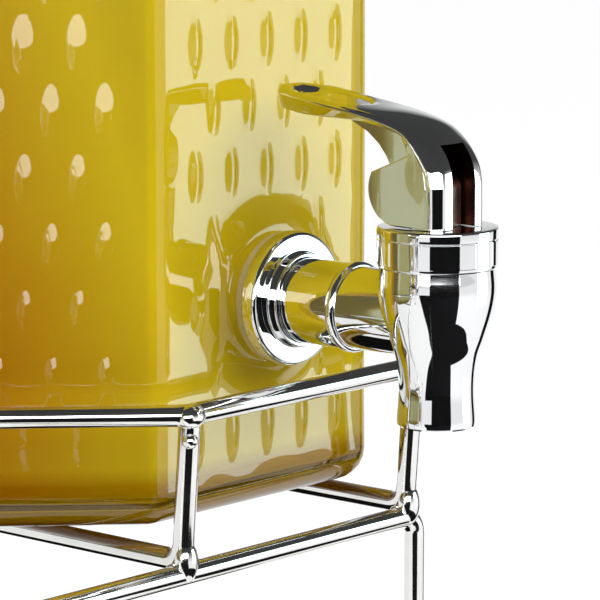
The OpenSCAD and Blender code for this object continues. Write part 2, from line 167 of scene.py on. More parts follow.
mirror = maths(tree, "MAXIMUM", seen["Is Camera Ray"], shiny)
pick = add_node(tree, "ShaderNodeMixShader", mirror, lit.outputs[0], both.outputs[0])
add_node(tree, "ShaderNodeOutputMaterial", Surface=pick.outputs[0])
floor_mesh.materials.append(floor_paint)
print("floor, m across:", 2 * FLOOR_HALF)

# %% [markdown]
# The bright and dark bands on chrome are pictures of what stands round it. Point lamps would light the
# scene, but a mirror shows no shape for them, so the lamps are area lamps that have a face. Grey boards
# could darken the rest; plain black cards are used, as they give the sharp edge between bright and dark
# that polished plating has.

# %% Soft boxes and cards
def soft_box(name, at, look_at, wide, tall, radiance, mirrored, tone=(1, 1, 1)):
    """A soft box in millimetres, by the brightness of its face; it is either mirrored or lights
    matt things."""
    lamp = bpy.data.lights.new(name, "AREA")
    lamp.shape = "RECTANGLE"
    lamp.size, lamp.size_y = wide * MM, tall * MM
    lamp.color = tone
    lamp.energy = radiance * math.pi * wide * tall * MM * MM
    holder = bpy.data.objects.new(name, lamp)
    holder.location = Vector(at) * MM
    ahead = Vector(look_at) * MM - holder.location
    holder.rotation_euler = ahead.to_track_quat("-Z", "Y").to_euler()
    holder.visible_camera = False
    holder.visible_glossy, holder.visible_diffuse = mirrored, not mirrored
    scene.collection.objects.link(holder)


card_paint, tree = new_finish("card_paint")
matt = add_node(tree, "ShaderNodeBsdfDiffuse", Color=(0.012, 0.012, 0.013, 1))
add_node(tree, "ShaderNodeOutputMaterial", Surface=matt.outputs[0])


def black_card(name, corners, faces):
    """A card of points in millimetres, which only mirrors show."""
    mesh = bpy.data.meshes.new(name)
    mesh.from_pydata([Vector(p) * MM for p in corners], [], faces)
    mesh.materials.append(card_paint)
    card = bpy.data.objects.new(name, mesh)
    scene.collection.objects.link(card)
    card.visible_camera = card.visible_diffuse = card.visible_shadow = card.visible_transmission = False


CARD_LIFT = 0.6


def flat_card(name, corners):
    """A card laid on the table, by its corners seen from above."""
    black_card(name, [(x, y, CARD_LIFT) for x, y in corners], [tuple(range(len(corners)))])


def upright_card(name, at, faces_to, wide, low, high):
    """An upright card that faces a point."""
    across = Vector((faces_to[1] - at[1], at[0] - faces_to[0])).normalized() * wide / 2
    ends = [(at[0] - across.x, at[1] - across.y), (at[0] + across.x, at[1] + across.y)]
    corners = [(*ends[0], low), (*ends[1], low), (*ends[1], high), (*ends[0], high)]
    black_card(name, corners, [(0, 1, 2, 3)])


def fan_card(name, hub, start, stop, near, far, high, steps=16):
    """A fan laid on the table round a hub, from one angle to another off -Y. Its far edge goes from
    one distance to another and is turned up."""
    corners = []
    angles, rims = np.linspace(start, stop, steps + 1), np.linspace(far[0], far[1], steps + 1)
    for angle, painted_dark_rim in zip(np.radians(angles), rims):
        for reach, z in ((near, CARD_LIFT), (painted_dark_rim, CARD_LIFT), (painted_dark_rim, high)):
            corners.append((hub[0] + reach * math.sin(angle), hub[1] - reach * math.cos(angle), z))
    faces = [(3 * k + j, 3 * k + j + 1, 3 * k + j + 4, 3 * k + j + 3)
             for k in range(steps) for j in range(2)]
    black_card(name, corners, faces)


RIGHT_TAP = (UNIT_PITCH, TAP_Y)
soft_box("front_box", (512, -395, 140), (349, 3, 140), 225, 250, 4.2, True, (0.76, 0.97, 1.0))
soft_box("camera_box", (-662, -927, 410), (170, -62, 410), 1950, 480, 6.0, True)
soft_box("key_lamp", (203, -710, 780), (203, -62, 159), 1100, 900, 3.0, False)
fan_card("camera_card", RIGHT_TAP, -65.9, -8.9, 70, (800, 800), 185)
fan_card("table_card", RIGHT_TAP, -8.9, 80.0, 60, (222, 197), 0.8)
fan_card("side_strip", RIGHT_TAP, 75.0, 91.0, 70, (500, 500), 0.8)
fan_card("left_card", RIGHT_TAP, -86.0, -65.9, 780, (800, 800), 38)
flat_card("left_table_card", [(84, -166), (-527, -440), (-595, -169)])
# painted shadow: a black card under the right jar, seen only in mirrors, stands for the jar's shadow on the
# table
flat_card("under_card", [(135, -60), (290, -60), (290, 110), (135, 110)])
upright_card("side_card", (699, -174), RIGHT_TAP, 140, 0.5, 330)

# %% [markdown]
# ## Finishes
# Two effects are shared. Handled gloss varies a polished surface: faint cloudy patches where it has
# been wiped, and a very shallow waviness. Moulded grain belongs to rubber, silicone and plastic: a
# fine even tooth with specks of lighter and darker stock. Each is a node group with named inputs.

# %% Shared effects
def effect(name, inputs, outputs):
    """A node group, what it is given and what it hands on."""
    group = bpy.data.node_groups.new(name, "ShaderNodeTree")
    for label, value in inputs:
        kind = "NodeSocketColor" if isinstance(value, tuple) else "NodeSocketFloat"
        group.interface.new_socket(label, in_out="INPUT", socket_type=kind).default_value = value
    for label, kind in outputs:
        group.interface.new_socket(label, in_out="OUTPUT", socket_type=kind)
    return group, add_node(group, "NodeGroupInput").outputs, add_node(group, "NodeGroupOutput").inputs


def object_noise(tree, scale, detail=2.0):
    """Noise on Object coordinates; scale is a number or an output, in cycles per metre."""
    place = add_node(tree, "ShaderNodeTexCoord")
    return add_node(tree, "ShaderNodeTexNoise", Vector=place.outputs["Object"], Scale=scale,
                    Detail=detail).outputs["Fac"]


gloss_group, given, made = effect(
    "handled_gloss",
    [("Roughness", 0.05), ("Wiped Patches", 0.04), ("Patch Scale", 40.0), ("Wave Scale", 90.0)],
    [("Roughness", "NodeSocketFloat"), ("Height", "NodeSocketFloat")])
patches = object_noise(gloss_group, given["Patch Scale"], 4.0)
spread = maths(gloss_group, "MULTIPLY", maths(gloss_group, "POWER", patches, 3.0), 4.0)
rough = maths(gloss_group, "MULTIPLY_ADD", spread, given["Wiped Patches"], given["Roughness"])
join(gloss_group, (rough, made["Roughness"]),
     (object_noise(gloss_group, given["Wave Scale"], 1.0), made["Height"]))

grain_group, given, made = effect(
    "moulded_grain",
    [("Colour", (0.8, 0.8, 0.8, 1)), ("Speck", 0.12), ("Grain Scale", 2600.0), ("Roughness", 0.5)],
    [("Colour", "NodeSocketColor"), ("Roughness", "NodeSocketFloat"), ("Height", "NodeSocketFloat")])
tooth = object_noise(grain_group, given["Grain Scale"], 3.0)
cloud = object_noise(grain_group, 60.0, 3.0)
specks = maths(grain_group, "SUBTRACT", tooth, 0.5)
light = maths(grain_group, "MULTIPLY_ADD", specks, given["Speck"], 1.0)
light = maths(grain_group, "MULTIPLY_ADD", maths(grain_group, "SUBTRACT", cloud, 0.5), 0.15, light)
tint = add_node(grain_group, "ShaderNodeVectorMath", given["Colour"], operation="SCALE", Scale=light)
join(grain_group, (tint.outputs[0], made["Colour"]), (tooth, made["Height"]),
     (maths(grain_group, "MULTIPLY_ADD", cloud, 0.2, given["Roughness"]), made["Roughness"]))
print("effects:", gloss_group.name, grain_group.name)

# %% [markdown]
# Chrome is a mirror with a cool grey tint. The tap is polished plating; the rack is bright wire, a
# little duller, with cloudy patches all over. Brushed steel is used for the pin and screws; the stem
# and the slot round it are painted dark brown, which is painted shade.

# %% Metals
def use_effect(tree, group, **values):
    """What a shared effect hands on."""
    return add_node(tree, "ShaderNodeGroup", node_tree=group, **values).outputs


def bumped(tree, height, distance, strength):
    """A normal tilted by a height."""
    return add_node(tree, "ShaderNodeBump", Height=height, Strength=strength,
                    Distance=distance).outputs["Normal"]


def two_tone(tree, share, first, second, ends=(0.0, 1.0)):
    """A colour that goes from one tone to another."""
    ramp = add_node(tree, "ShaderNodeValToRGB", share)
    for mark, place, tone in zip(ramp.color_ramp.elements, ends, (first, second)):
        mark.position, mark.color = place, (*tone, 1)
    return ramp.outputs["Color"]


def metal(name, tone, shadow_tone, roughness, patches, patch_scale, wave, wave_scale):
    """A polished metal; its tone drifts to the shadow tone in patches."""
    finish, tree = new_finish(name)
    gloss = use_effect(tree, gloss_group, Roughness=roughness, Wiped_Patches=patches,
                       Patch_Scale=patch_scale, Wave_Scale=wave_scale)
    drift = object_noise(tree, patch_scale * 0.7, 3.0)
    shader = add_node(tree, "ShaderNodeBsdfPrincipled", Metallic=1.0, Roughness=gloss["Roughness"],
                      Base_Color=two_tone(tree, drift, shadow_tone, tone, (0.3, 0.6)),
                      Normal=bumped(tree, gloss["Height"], wave, 0.5))
    add_node(tree, "ShaderNodeOutputMaterial", Surface=shader.outputs[0])
    return finish


tap_chrome = metal("tap_chrome", (0.82, 0.83, 0.84), (0.77, 0.78, 0.79),
                   0.02, 0.02, 45.0, 0.00002, 70.0)
rack_chrome = metal("rack_chrome", (0.80, 0.80, 0.79), (0.70, 0.70, 0.68),
                    0.04, 0.06, 120.0, 0.00006, 160.0)
slot_film = metal("slot_film", (0.10, 0.042, 0.03), (0.05, 0.022, 0.016),
                  0.22, 0.2, 160.0, 0.00003, 300.0)
pin_steel = metal("pin_steel", (0.56, 0.55, 0.53), (0.46, 0.45, 0.43),
                  0.25, 0.15, 300.0, 0.00004, 1500.0)
stem_steel = metal("stem_steel", (0.17, 0.12, 0.095), (0.09, 0.06, 0.048),
                   0.28, 0.15, 300.0, 0.00004, 900.0)
print("metals:", [m.name for m in (tap_chrome, rack_chrome, slot_film, pin_steel, stem_steel)])

# %% [markdown]
# Clear soda glass bends light with an index of 1.5. A renderer can't easily send lamp light through
# such a wall, so shadow rays and soft bounced rays pass straight through it and the juice behind is
# lit as it is on the table. The thick base is painted amber, a painted reflection of the juice above
# it, and its bottom edge is painted dark, a painted dark reflection. The juice is cloudy: light goes in
# a little way and comes back yellow. Its colour holds painted shade, deeper low down and towards the
# left, and painted light at the base; only its pulp varies at random.

# %% Glass and juice
# heights in metres where the clear wall turns to the painted amber base, and that to its painted dark rim
PAINTED_AMBER_FADE, PAINTED_RIM_FADE = (0.1185, 0.1225), (0.1090, 0.1125)
# heights in metres over which the painted shade of the juice lifts, and over which its painted light at the
# base dies out
PAINTED_SHADE_RISE, PAINTED_BASE_LIGHT_FADE, PAINTED_BASE_LIGHT = (0.11, 0.26), (0.112, 0.145), 0.36
# shares of the painted shade by height and across the jar, and of the pulp, in the tone of the juice
SHADE_HEIGHT_SHARE, SHADE_ACROSS_SHARE, SHADE_ACROSS_START, PULP_SHARE = 0.83, 5.36, -1.325, 0.25


def object_place(tree):
    place = add_node(tree, "ShaderNodeTexCoord")
    return add_node(tree, "ShaderNodeSeparateXYZ", place.outputs["Object"]).outputs


def fade(tree, value, ends, low=0.0, high=1.0):
    """A value mapped from between two ends to between low and high."""
    return add_node(tree, "ShaderNodeMapRange", value, *ends, low, high).outputs[0]


def clear_glass(name, tint, painted_dark_rim, painted_amber, roughness, wave):
    """Clear glass, its base painted amber and its rim dark as painted reflections; lamp light and soft
    bounced light go straight through it.
    """
    finish, tree = new_finish(name)
    gloss = use_effect(tree, gloss_group, Roughness=roughness, Wiped_Patches=0.012,
                       Patch_Scale=30.0, Wave_Scale=55.0)
    height = object_place(tree)["Z"]
    wall = two_tone(tree, object_noise(tree, 12.0), tint, (1, 1, 1))
    foot = two_tone(tree, fade(tree, height, PAINTED_RIM_FADE), painted_dark_rim, painted_amber)
    base = add_node(tree, "ShaderNodeMix", fade(tree, height, PAINTED_AMBER_FADE), data_type="RGBA")
    join(tree, (foot, base.inputs[6]), (wall, base.inputs[7]))
    shader = add_node(tree, "ShaderNodeBsdfPrincipled", Transmission_Weight=1.0, IOR=1.5,
                      Base_Color=base.outputs[2], Roughness=gloss["Roughness"],
                      Normal=bumped(tree, gloss["Height"], wave, 0.4))
    passing = add_node(tree, "ShaderNodeBsdfTransparent", Color=(0.97, 0.98, 0.97, 1))
    path = add_node(tree, "ShaderNodeLightPath").outputs
    straight = maths(tree, "MAXIMUM", path["Is Shadow Ray"], path["Is Diffuse Ray"])
    pick = add_node(tree, "ShaderNodeMixShader", straight, shader.outputs[0], passing.outputs[0])
    add_node(tree, "ShaderNodeOutputMaterial", Surface=pick.outputs[0])
    return finish


def cloudy_drink(name, shaded_tone, bright, front):
    """A cloudy drink with painted shade: its shaded tone low on the left, its lit tone, and its tone at the
    lit front, with painted light at the base.
    """
    finish, tree = new_finish(name)
    parts = object_place(tree)
    pulp = object_noise(tree, 28.0, 4.0)
    # painted shade: the tone deepens towards the left of each jar and low down, and painted light lifts it
    # at the base; only the pulp noise is the drink's own
    from_end = maths(tree, "ADD", parts["X"], 1.5 * UNIT_PITCH * MM)
    side = maths(tree, "FRACT", maths(tree, "DIVIDE", from_end, UNIT_PITCH * MM))
    across = maths(tree, "MULTIPLY_ADD", side, SHADE_ACROSS_SHARE, SHADE_ACROSS_START)
    painted_light_share = maths(tree, "MULTIPLY_ADD", fade(tree, parts["Z"], PAINTED_SHADE_RISE), SHADE_HEIGHT_SHARE, across)
    painted_light_share = maths(tree, "MULTIPLY_ADD", maths(tree, "SUBTRACT", pulp, 0.5), PULP_SHARE, painted_light_share)
    painted_light_share = maths(tree, "ADD", fade(tree, parts["Z"], PAINTED_BASE_LIGHT_FADE, PAINTED_BASE_LIGHT, 0.0), painted_light_share)
    ramp = add_node(tree, "ShaderNodeValToRGB", painted_light_share)
    ramp.color_ramp.elements.new(0.8)
    for mark, colour in zip(ramp.color_ramp.elements, (shaded_tone, bright, front)):
        mark.color = (*colour, 1)
    shader = add_node(tree, "ShaderNodeBsdfPrincipled", Base_Color=ramp.outputs["Color"],
                      Roughness=fade(tree, pulp, (0.0, 1.0), 0.25, 0.45), IOR=1.33,
                      Specular_IOR_Level=0.1, Subsurface_Weight=0.35, Subsurface_Scale=0.012,
                      Subsurface_Radius=(1.0, 0.6, 0.08))
    add_node(tree, "ShaderNodeOutputMaterial", Surface=shader.outputs[0])
    return finish


# the jar glass: a clear tint, then a base painted amber and a rim painted dark, both painted reflections
jar_glass = clear_glass("jar_glass", (0.97, 0.985, 0.975), (0.06, 0.018, 0.002),
                        (0.42, 0.25, 0.002), 0.0, 0.00006)
# juice tones, shaded, lit and at the lit front: painted shade and light on one drink
orange_juice = cloudy_drink("orange_juice", (0.51, 0.22, 0.0002), (0.72, 0.515, 0.006),
                            (0.63, 0.455, 0.005))
lemonade = cloudy_drink("lemonade", (0.40, 0.38, 0.14), (0.44, 0.42, 0.17), (0.46, 0.44, 0.18))
print("clear finishes:", jar_glass.name, orange_juice.name, lemonade.name)

# %% [markdown]
# The soft pieces are moulded: the gaskets of yellowed silicone, the nut of white plastic and the foot
# caps of black rubber. One flat colour might do at their size, but moulded stock is never quite even,
# so all three take the grain and differ only in their values.

# %% Rubber, silicone and plastic
def moulded(name, colour, speck, grain_scale, roughness, bump):
    finish, tree = new_finish(name)
    grain = use_effect(tree, grain_group, Colour=(*colour, 1), Speck=speck,
                       Grain_Scale=grain_scale, Roughness=roughness)
    shader = add_node(tree, "ShaderNodeBsdfPrincipled", Base_Color=grain["Colour"],
                      Roughness=grain["Roughness"], Normal=bumped(tree, grain["Height"], bump, 0.4))
    add_node(tree, "ShaderNodeOutputMaterial", Surface=shader.outputs[0])
    return finish


gasket_silicone = moulded("gasket_silicone", (0.56, 0.45, 0.24), 0.1, 1800.0, 0.35, 0.00003)
nut_plastic = moulded("nut_plastic", (0.75, 0.75, 0.72), 0.12, 2200.0, 0.3, 0.00004)
foot_rubber = moulded("foot_rubber", (0.03, 0.03, 0.032), 0.4, 2600.0, 0.55, 0.00008)
print("moulded finishes:", [m.name for m in (gasket_silicone, nut_plastic, foot_rubber)])

# %% [markdown]
# ## Making and placing pieces
# Most pieces of the tap and lid were turned on a lathe, so they are outlines carried round an axis.
# Real turned parts have no knife edges: each corner of an outline is rounded a little, and that is
# what catches the light. A piece is made once and then copied to the three jars with its place in
# its mesh.

# %% Piece helpers
def smooth_shade(mesh, crease=35.0):
    mesh.shade_smooth()
    mesh.set_sharp_from_angle(angle=math.radians(crease))


def new_piece(name, points, faces, finish, crease=35.0):
    """A mesh object from points in millimetres, with its faces turned outwards."""
    shape = bmesh.new()
    corners = [shape.verts.new(Vector(map(float, p)) * MM) for p in points]
    for face in faces:
        shape.faces.new([corners[k] for k in face])
    bmesh.ops.recalc_face_normals(shape, faces=shape.faces)
    mesh = bpy.data.meshes.new(name)
    shape.to_mesh(mesh)
    shape.free()
    mesh.materials.append(finish)
    smooth_shade(mesh, crease)
    piece = bpy.data.objects.new(name, mesh)
    scene.collection.objects.link(piece)
    return piece


def place_at_units(source, body, replaced, shift=(0, 0, 0)):
    """Copies a piece that was made about its own axis to the three jars, in place of the CAD nodes
    named."""
    name = source.name
    source.name = name + "_pattern"
    copies = []
    for unit in UNITS:
        mesh = source.data.copy()
        mesh.name = f"{name}_{unit}"
        mesh.transform(Matrix.Translation(Vector((UNIT_X[unit] + shift[0], shift[1], shift[2])) * MM))
        piece = bpy.data.objects.new(f"{name}_{unit}", mesh)
        scene.collection.objects.link(piece)
        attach(piece, f"{unit}_{body}")
        nodes = [f"{node}_{unit}" for node in replaced]
        if nodes:
            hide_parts(*nodes)
        copies.append(piece)
    print(name, "faces:", len(source.data.polygons))
    bpy.data.objects.remove(source)
    return copies


def rounded(outline, radius, steps=4, closed=True):
    """The outline with each corner replaced by a small curve; radius is one number or one per
    corner."""
    radii = [radius] * len(outline) if isinstance(radius, (int, float)) else radius
    result = []
    count = len(outline)
    for k, corner in enumerate(outline):
        corner = np.array(corner, float)
        if not closed and k in (0, count - 1) or radii[k] <= 0:
            result.append(tuple(corner))
            continue
        arm_a = np.array(outline[k - 1], float) - corner
        arm_b = np.array(outline[(k + 1) % count], float) - corner
        reach = min(radii[k], 0.45 * np.linalg.norm(arm_a), 0.45 * np.linalg.norm(arm_b))
        start = corner + arm_a / np.linalg.norm(arm_a) * reach
        end = corner + arm_b / np.linalg.norm(arm_b) * reach
        for t in np.linspace(0, 1, steps + 1):
            result.append(tuple((1 - t) ** 2 * start + 2 * t * (1 - t) * corner + t * t * end))
    return result


def lathe(outline, turns, closed=True):
    """Points and faces of an outline of (radius, height) carried round Z; a radius of 0 is a pole."""
    points, rings, faces = [], [], []
    for radius, height in outline:
        if radius < 1e-6:
            rings.append([len(points)] * turns)
            points.append((0, 0, height))
        else:
            rings.append(list(range(len(points), len(points) + turns)))
            points += [(radius * math.cos(a), radius * math.sin(a), height)
                       for a in np.linspace(0, 2 * math.pi, turns, endpoint=False)]
    pairs = list(zip(rings, rings[1:])) + ([(rings[-1], rings[0])] if closed else [])
    for low, high in pairs:
        for k in range(turns):
            n = (k + 1) % turns
            loop = list(dict.fromkeys([low[k], low[n], high[n], high[k]]))
            if len(loop) > 2:
                faces.append(loop)
    return points, faces


def ring_faces(sides, rings):
    """The faces between neighbouring rings of points that are listed ring by ring."""
    return [(j * sides + k, j * sides + (k + 1) % sides,
             (j + 1) * sides + (k + 1) % sides, (j + 1) * sides + k)
            for j in range(rings - 1) for k in range(sides)]


def along_y(points):
    """Turns points made about Z so that their axis is Y."""
    return [(x, z, -y) for x, y, z in points]


def turned(name, outline, finish, turns, closed=True):
    """A piece turned about Z."""
    points, faces = lathe(outline, turns, closed)
    return new_piece(name, points, faces, finish)


def turned_along_y(name, outline, finish, turns, closed=True):
    """A piece turned about Y."""
    points, faces = lathe(outline, turns, closed)
    return new_piece(name, along_y(points), faces, finish)


def rod(radius, low, high):
    """The outline of a plain rod."""
    return [(0, low), (radius, low), (radius, high), (0, high)]


def curve_through(keys, steps):
    """A smooth line through key points, each a tuple of any length."""
    keys = np.array(keys, float)
    ends = np.vstack([2 * keys[0] - keys[1], keys, 2 * keys[-1] - keys[-2]])
    line = []
    for k in range(len(keys) - 1):
        a, b, c, d = ends[k:k + 4]
        for t in np.arange(steps) / steps:
            line.append(0.5 * (2 * b + (c - a) * t + (2 * a - 5 * b + 4 * c - d) * t ** 2
                               + (3 * b - a - 3 * c + d) * t ** 3))
    return np.array(line + [keys[-1]])


def cut(piece, tool, operation="DIFFERENCE"):
    """Applies a boolean with another object, which is then removed."""
    step = piece.modifiers.new("cut", "BOOLEAN")
    step.operation, step.object = operation, tool
    step.solver, step.material_mode = "EXACT", "TRANSFER"
    bpy.context.view_layer.update()
    shown = piece.evaluated_get(bpy.context.evaluated_depsgraph_get())
    mesh = bpy.data.meshes.new_from_object(shown)
    piece.modifiers.remove(step)
    piece.data = mesh
    bpy.data.objects.remove(tool)
    smooth_shade(mesh)


# %% [markdown]
# What repeats by rule, such as bumps, wires and caps, is left to Geometry Nodes. Loops in Python could
# copy it too, but a tree with named inputs is easily changed and run again. Its result is turned into a
# plain mesh, so that nothing is left to compute at export.

# %% Node tree helpers
def shape_tree(name, inputs):
    """A Geometry Nodes tree with named inputs; the first socket is the geometry that it works on."""
    tree = bpy.data.node_groups.new(name, "GeometryNodeTree")
    tree.interface.new_socket("Geometry", in_out="INPUT", socket_type="NodeSocketGeometry")
    for label, kind, value in inputs:
        socket = tree.interface.new_socket(label, in_out="INPUT", socket_type="NodeSocket" + kind)
        if value is not None:
            socket.default_value = value
    tree.interface.new_socket("Geometry", in_out="OUTPUT", socket_type="NodeSocketGeometry")
    return tree, add_node(tree, "NodeGroupInput").outputs, add_node(tree, "NodeGroupOutput").inputs


def named(tree, label, kind="FLOAT"):
    return add_node(tree, "GeometryNodeInputNamedAttribute", data_type=kind,
                    Name=label).outputs["Attribute"]


def hand_over(tree, shape, finish, made, smooth=False):
    """Realizes what a tree has put together, gives it its finish and hands it on."""
    shape = add_node(tree, "GeometryNodeRealizeInstances", Geometry=shape).outputs[0]
    if smooth:
        shape = add_node(tree, "GeometryNodeSetShadeSmooth", Geometry=shape).outputs[0]
    paint = add_node(tree, "GeometryNodeSetMaterial", Geometry=shape, Material=finish)
    tree.links.new(paint.outputs[0], made["Geometry"])


def run_tree(source, tree, **values):
    """Runs a tree on an object and returns a plain mesh object with the result."""
    step = source.modifiers.new("shape", "NODES")
    step.node_group = tree
    for item in tree.interface.items_tree:
        key = item.name.replace(" ", "_")
        if item.in_out == "INPUT" and key in values:
            step[item.identifier] = values[key]
    name = source.name
    shown = source.evaluated_get(bpy.context.evaluated_depsgraph_get())
    mesh = bpy.data.meshes.new_from_object(shown)
    source.modifiers.remove(step)
    bpy.data.objects.remove(source)
    piece = bpy.data.objects.new(name, mesh)
    mesh.name = name
    scene.collection.objects.link(piece)
    return piece


# %% [markdown]
# ## Jars
# Each jar is pressed glass: an eight-sided body with rounded corners, a shoulder, a round neck with a
# lip, and rows of upright oval bumps, staggered from column to column; the stagger changes over from
# one side of the jar to the next. A smooth raised pad carries the tap. The plain jar is one closed
# skin of rings, outside and inside. Geometry Nodes then raise the bumps and the pad by rule, and give
# the glass the slight waviness of a pressed wall.

# %% Jar sizes and rings
JAR_ACROSS, JAR_CORNER, HEEL = 174.0, 8.0, 8.0
BODY_H, SHOULDER_H, NECK_H = 158.0, 20.0, 18.0
WALL, BASE = 5.0, 7.0
NECK_IN, NECK_OUT, LIP_OUT, LIP_H = 56.0, 62.0, 3.0, 6.0
FOOT_H, FOOT_ACROSS, FOOT_W = 2.0, 142.0, 12.0
SHOULDER_ROUND = 13.0
COLUMN_PITCH, ROW_PITCH, FIRST_ROW, LOWEST_ROW = 6.0, 14.95, 20.1, 10.0
HALF_SIDE = math.radians(22.5)
FLAT_HALF = (JAR_ACROSS / 2 - JAR_CORNER) * math.tan(HALF_SIDE)
FACE_GRID = np.concatenate([[-1.0], np.arange(-36, 37) * COLUMN_PITCH / 8 / FLAT_HALF, [1.0]])
FLAT_STEPS, CORNER_STEPS, HEEL_STEPS = len(FACE_GRID) - 1, 6, 6
PAD_HEIGHT_ON_JAR = 50.2
OFF_FACE = 999.0
JAR_CREASE = 60.0


def octagon_ring(across, corner):
    """Points, and distance from the middle of the face, of a rounded octagon; face 0 looks along
    -Y."""
    ring, along = [], []
    inner = across / 2 - corner
    half = inner * math.tan(HALF_SIDE)
    for k in range(8):
        turn = math.radians(-90 + 45 * k)
        out = np.array([math.cos(turn), math.sin(turn)])
        side = np.array([-math.sin(turn), math.cos(turn)])
        for s in FACE_GRID * half:
            ring.append(out * across / 2 + side * s)
            along.append(s)
        hub = out * inner + side * half
        for a in np.linspace(0, math.radians(45), CORNER_STEPS + 1)[1:-1]:
            ring.append(hub + corner * (out * math.cos(a) + side * math.sin(a)))
            along.append(OFF_FACE)
    return np.array(ring), np.array(along)


BODY_RING, ALONG = octagon_ring(JAR_ACROSS, JAR_CORNER)
FACE_NUMBER = np.repeat(np.arange(8), FLAT_STEPS + CORNER_STEPS)
TURN_OF = np.arctan2(BODY_RING[:, 1], BODY_RING[:, 0])
print("points in a ring:", len(BODY_RING))


def round_ring(radius):
    return np.stack([radius * np.cos(TURN_OF), radius * np.sin(TURN_OF)], 1)


def body_rings(across, corner, heel, low, high, neck, neck_z, heights):
    """Rings of one wall from its bottom edge to the neck: heel, straight sides, rounded shoulder."""
    rings = []
    for a in np.linspace(math.radians(90), 0, HEEL_STEPS + 1)[:-1]:
        inset = heel * (1 - math.cos(a))
        ring = octagon_ring(across - 2 * inset, max(corner - inset, 1.0))[0]
        rings.append((ring, low + heel * (1 - math.sin(a))))
    for z in [low + heel, *heights, high - SHOULDER_ROUND]:
        rings.append((octagon_ring(across, corner)[0], z))
    top, start = round_ring(neck), octagon_ring(across, corner)[0]
    bend = ((0, high - SHOULDER_ROUND), (0, high), (0.35, high + 5), (1, neck_z))
    a, b, c, d = (np.array(p) for p in bend)
    for t in np.linspace(0, 1, 11)[1:]:
        share, z = (1 - t) ** 3 * a + 3 * t * (1 - t) ** 2 * b + 3 * t * t * (1 - t) * c + t ** 3 * d
        rings.append((start * (1 - share) + top * share, z))
    return rings


def closed_skin(rings):
    """Points and faces of a skin through rings of (outline, height), with a fan at each end."""
    sides = len(rings[0][0])
    points = [(x, y, z) for ring, z in rings for x, y in ring]
    faces = ring_faces(sides, len(rings))
    for end in (0, len(rings) - 1):
        points.append((0, 0, rings[end][1]))
        faces += [(end * sides + k, end * sides + (k + 1) % sides, len(points) - 1)
                  for k in range(sides)]
    return points, faces


# %% Plain jar skin
NECK_Z = BODY_H + SHOULDER_H
LIP_Z = NECK_Z + NECK_H
RING_STEP = ROW_PITCH / 9
outer_heights = np.arange(FIRST_ROW - 7 * RING_STEP, BODY_H - SHOULDER_ROUND - 0.2, RING_STEP)
outside = body_rings(JAR_ACROSS, JAR_CORNER, HEEL, 0.0, BODY_H, NECK_OUT, NECK_Z, outer_heights)
lip = [(round_ring(r), z) for r, z in rounded(
    [(NECK_OUT, NECK_Z + 2), (NECK_OUT, LIP_Z - LIP_H), (NECK_OUT + LIP_OUT, LIP_Z - LIP_H),
     (NECK_OUT + LIP_OUT, LIP_Z), (NECK_IN, LIP_Z), (NECK_IN, NECK_Z)],
    [0, 2, 2.4, 2.4, 2.4, 0], 3, False)]
INNER_ROUND = JAR_CORNER - WALL
inside = body_rings(JAR_ACROSS - 2 * WALL, INNER_ROUND, INNER_ROUND, BASE, BODY_H, NECK_IN, NECK_Z, [])
foot = [(octagon_ring(FOOT_ACROSS - 2 * w, 10.0)[0], z) for w, z in (
    (FOOT_W + 2, 0.0), (FOOT_W + 0.4, -0.6), (FOOT_W - 1, -FOOT_H), (1, -FOOT_H),
    (-0.4, -0.6), (-2, 0.0))]
rings = foot + outside + lip + inside[::-1]
points, faces = closed_skin(rings)
plain_jar = new_piece("hobnail_jar", points, faces, jar_glass, JAR_CREASE)

# the rule needs to know each point's place on its face, and which points are on the outer wall
per_ring, hubs = len(BODY_RING), 2
MARGIN = 4
skin = np.zeros(len(points))
first, last = len(foot) + MARGIN, len(foot) + HEEL_STEPS + len(outer_heights) + MARGIN
skin[first * per_ring:last * per_ring] = 1.0


def for_all_rings(values, at_hubs):
    return np.concatenate([np.tile(values, len(rings)), np.full(hubs, at_hubs)])


MARKS = {"along": for_all_rings(ALONG, OFF_FACE), "front": for_all_rings(FACE_NUMBER == 0, 0.0),
         "odd_face": for_all_rings(FACE_NUMBER % 2, 0.0), "skin": skin}
for label, values in MARKS.items():
    store = plain_jar.data.attributes.new(label, "FLOAT", "POINT")
    store.data.foreach_set("value", values.astype(np.float32))
print("plain jar points:", len(points), "rings:", len(rings))

# %% [markdown]
# The bumps are pressed into the wall and are one with it. They could be sculpted, or be raised by a
# height picture. Here each point works out from its own place which bump it lies on and how high the
# glass stands there, which keeps every bump alike and the rows exact.

# %% Bumps and tap pad by rule
bump_tree, rule, made = shape_tree("hobnail_skin", [
    ("Column Pitch", "Float", COLUMN_PITCH), ("Row Pitch", "Float", ROW_PITCH),
    ("First Row", "Float", FIRST_ROW), ("Lowest Row", "Float", LOWEST_ROW), ("Top Row", "Float", 142.0),
    ("Edge Column", "Float", 4.2), ("Half Width", "Float", 2.0), ("Half Height", "Float", 6.3),
    ("Relief", "Float", 0.72), ("Bluntness", "Float", 1.2), ("Tap Height", "Float", PAD_HEIGHT_ON_JAR),
    ("Clear Radius", "Float", 22.0), ("Pad Radius", "Float", 25.0), ("Pad Flat", "Float", 15.4),
    ("Pad Height", "Float", 3.5), ("Wave", "Float", 0.45), ("Wave Scale", "Float", 36.0),
    ("Finish", "Material", None)])


def field(operation, *terms):
    return maths(bump_tree, operation, *terms)


def span(across, upward):
    return field("SQRT", field("ADD", field("MULTIPLY", across, across), field("MULTIPLY", upward, upward)))


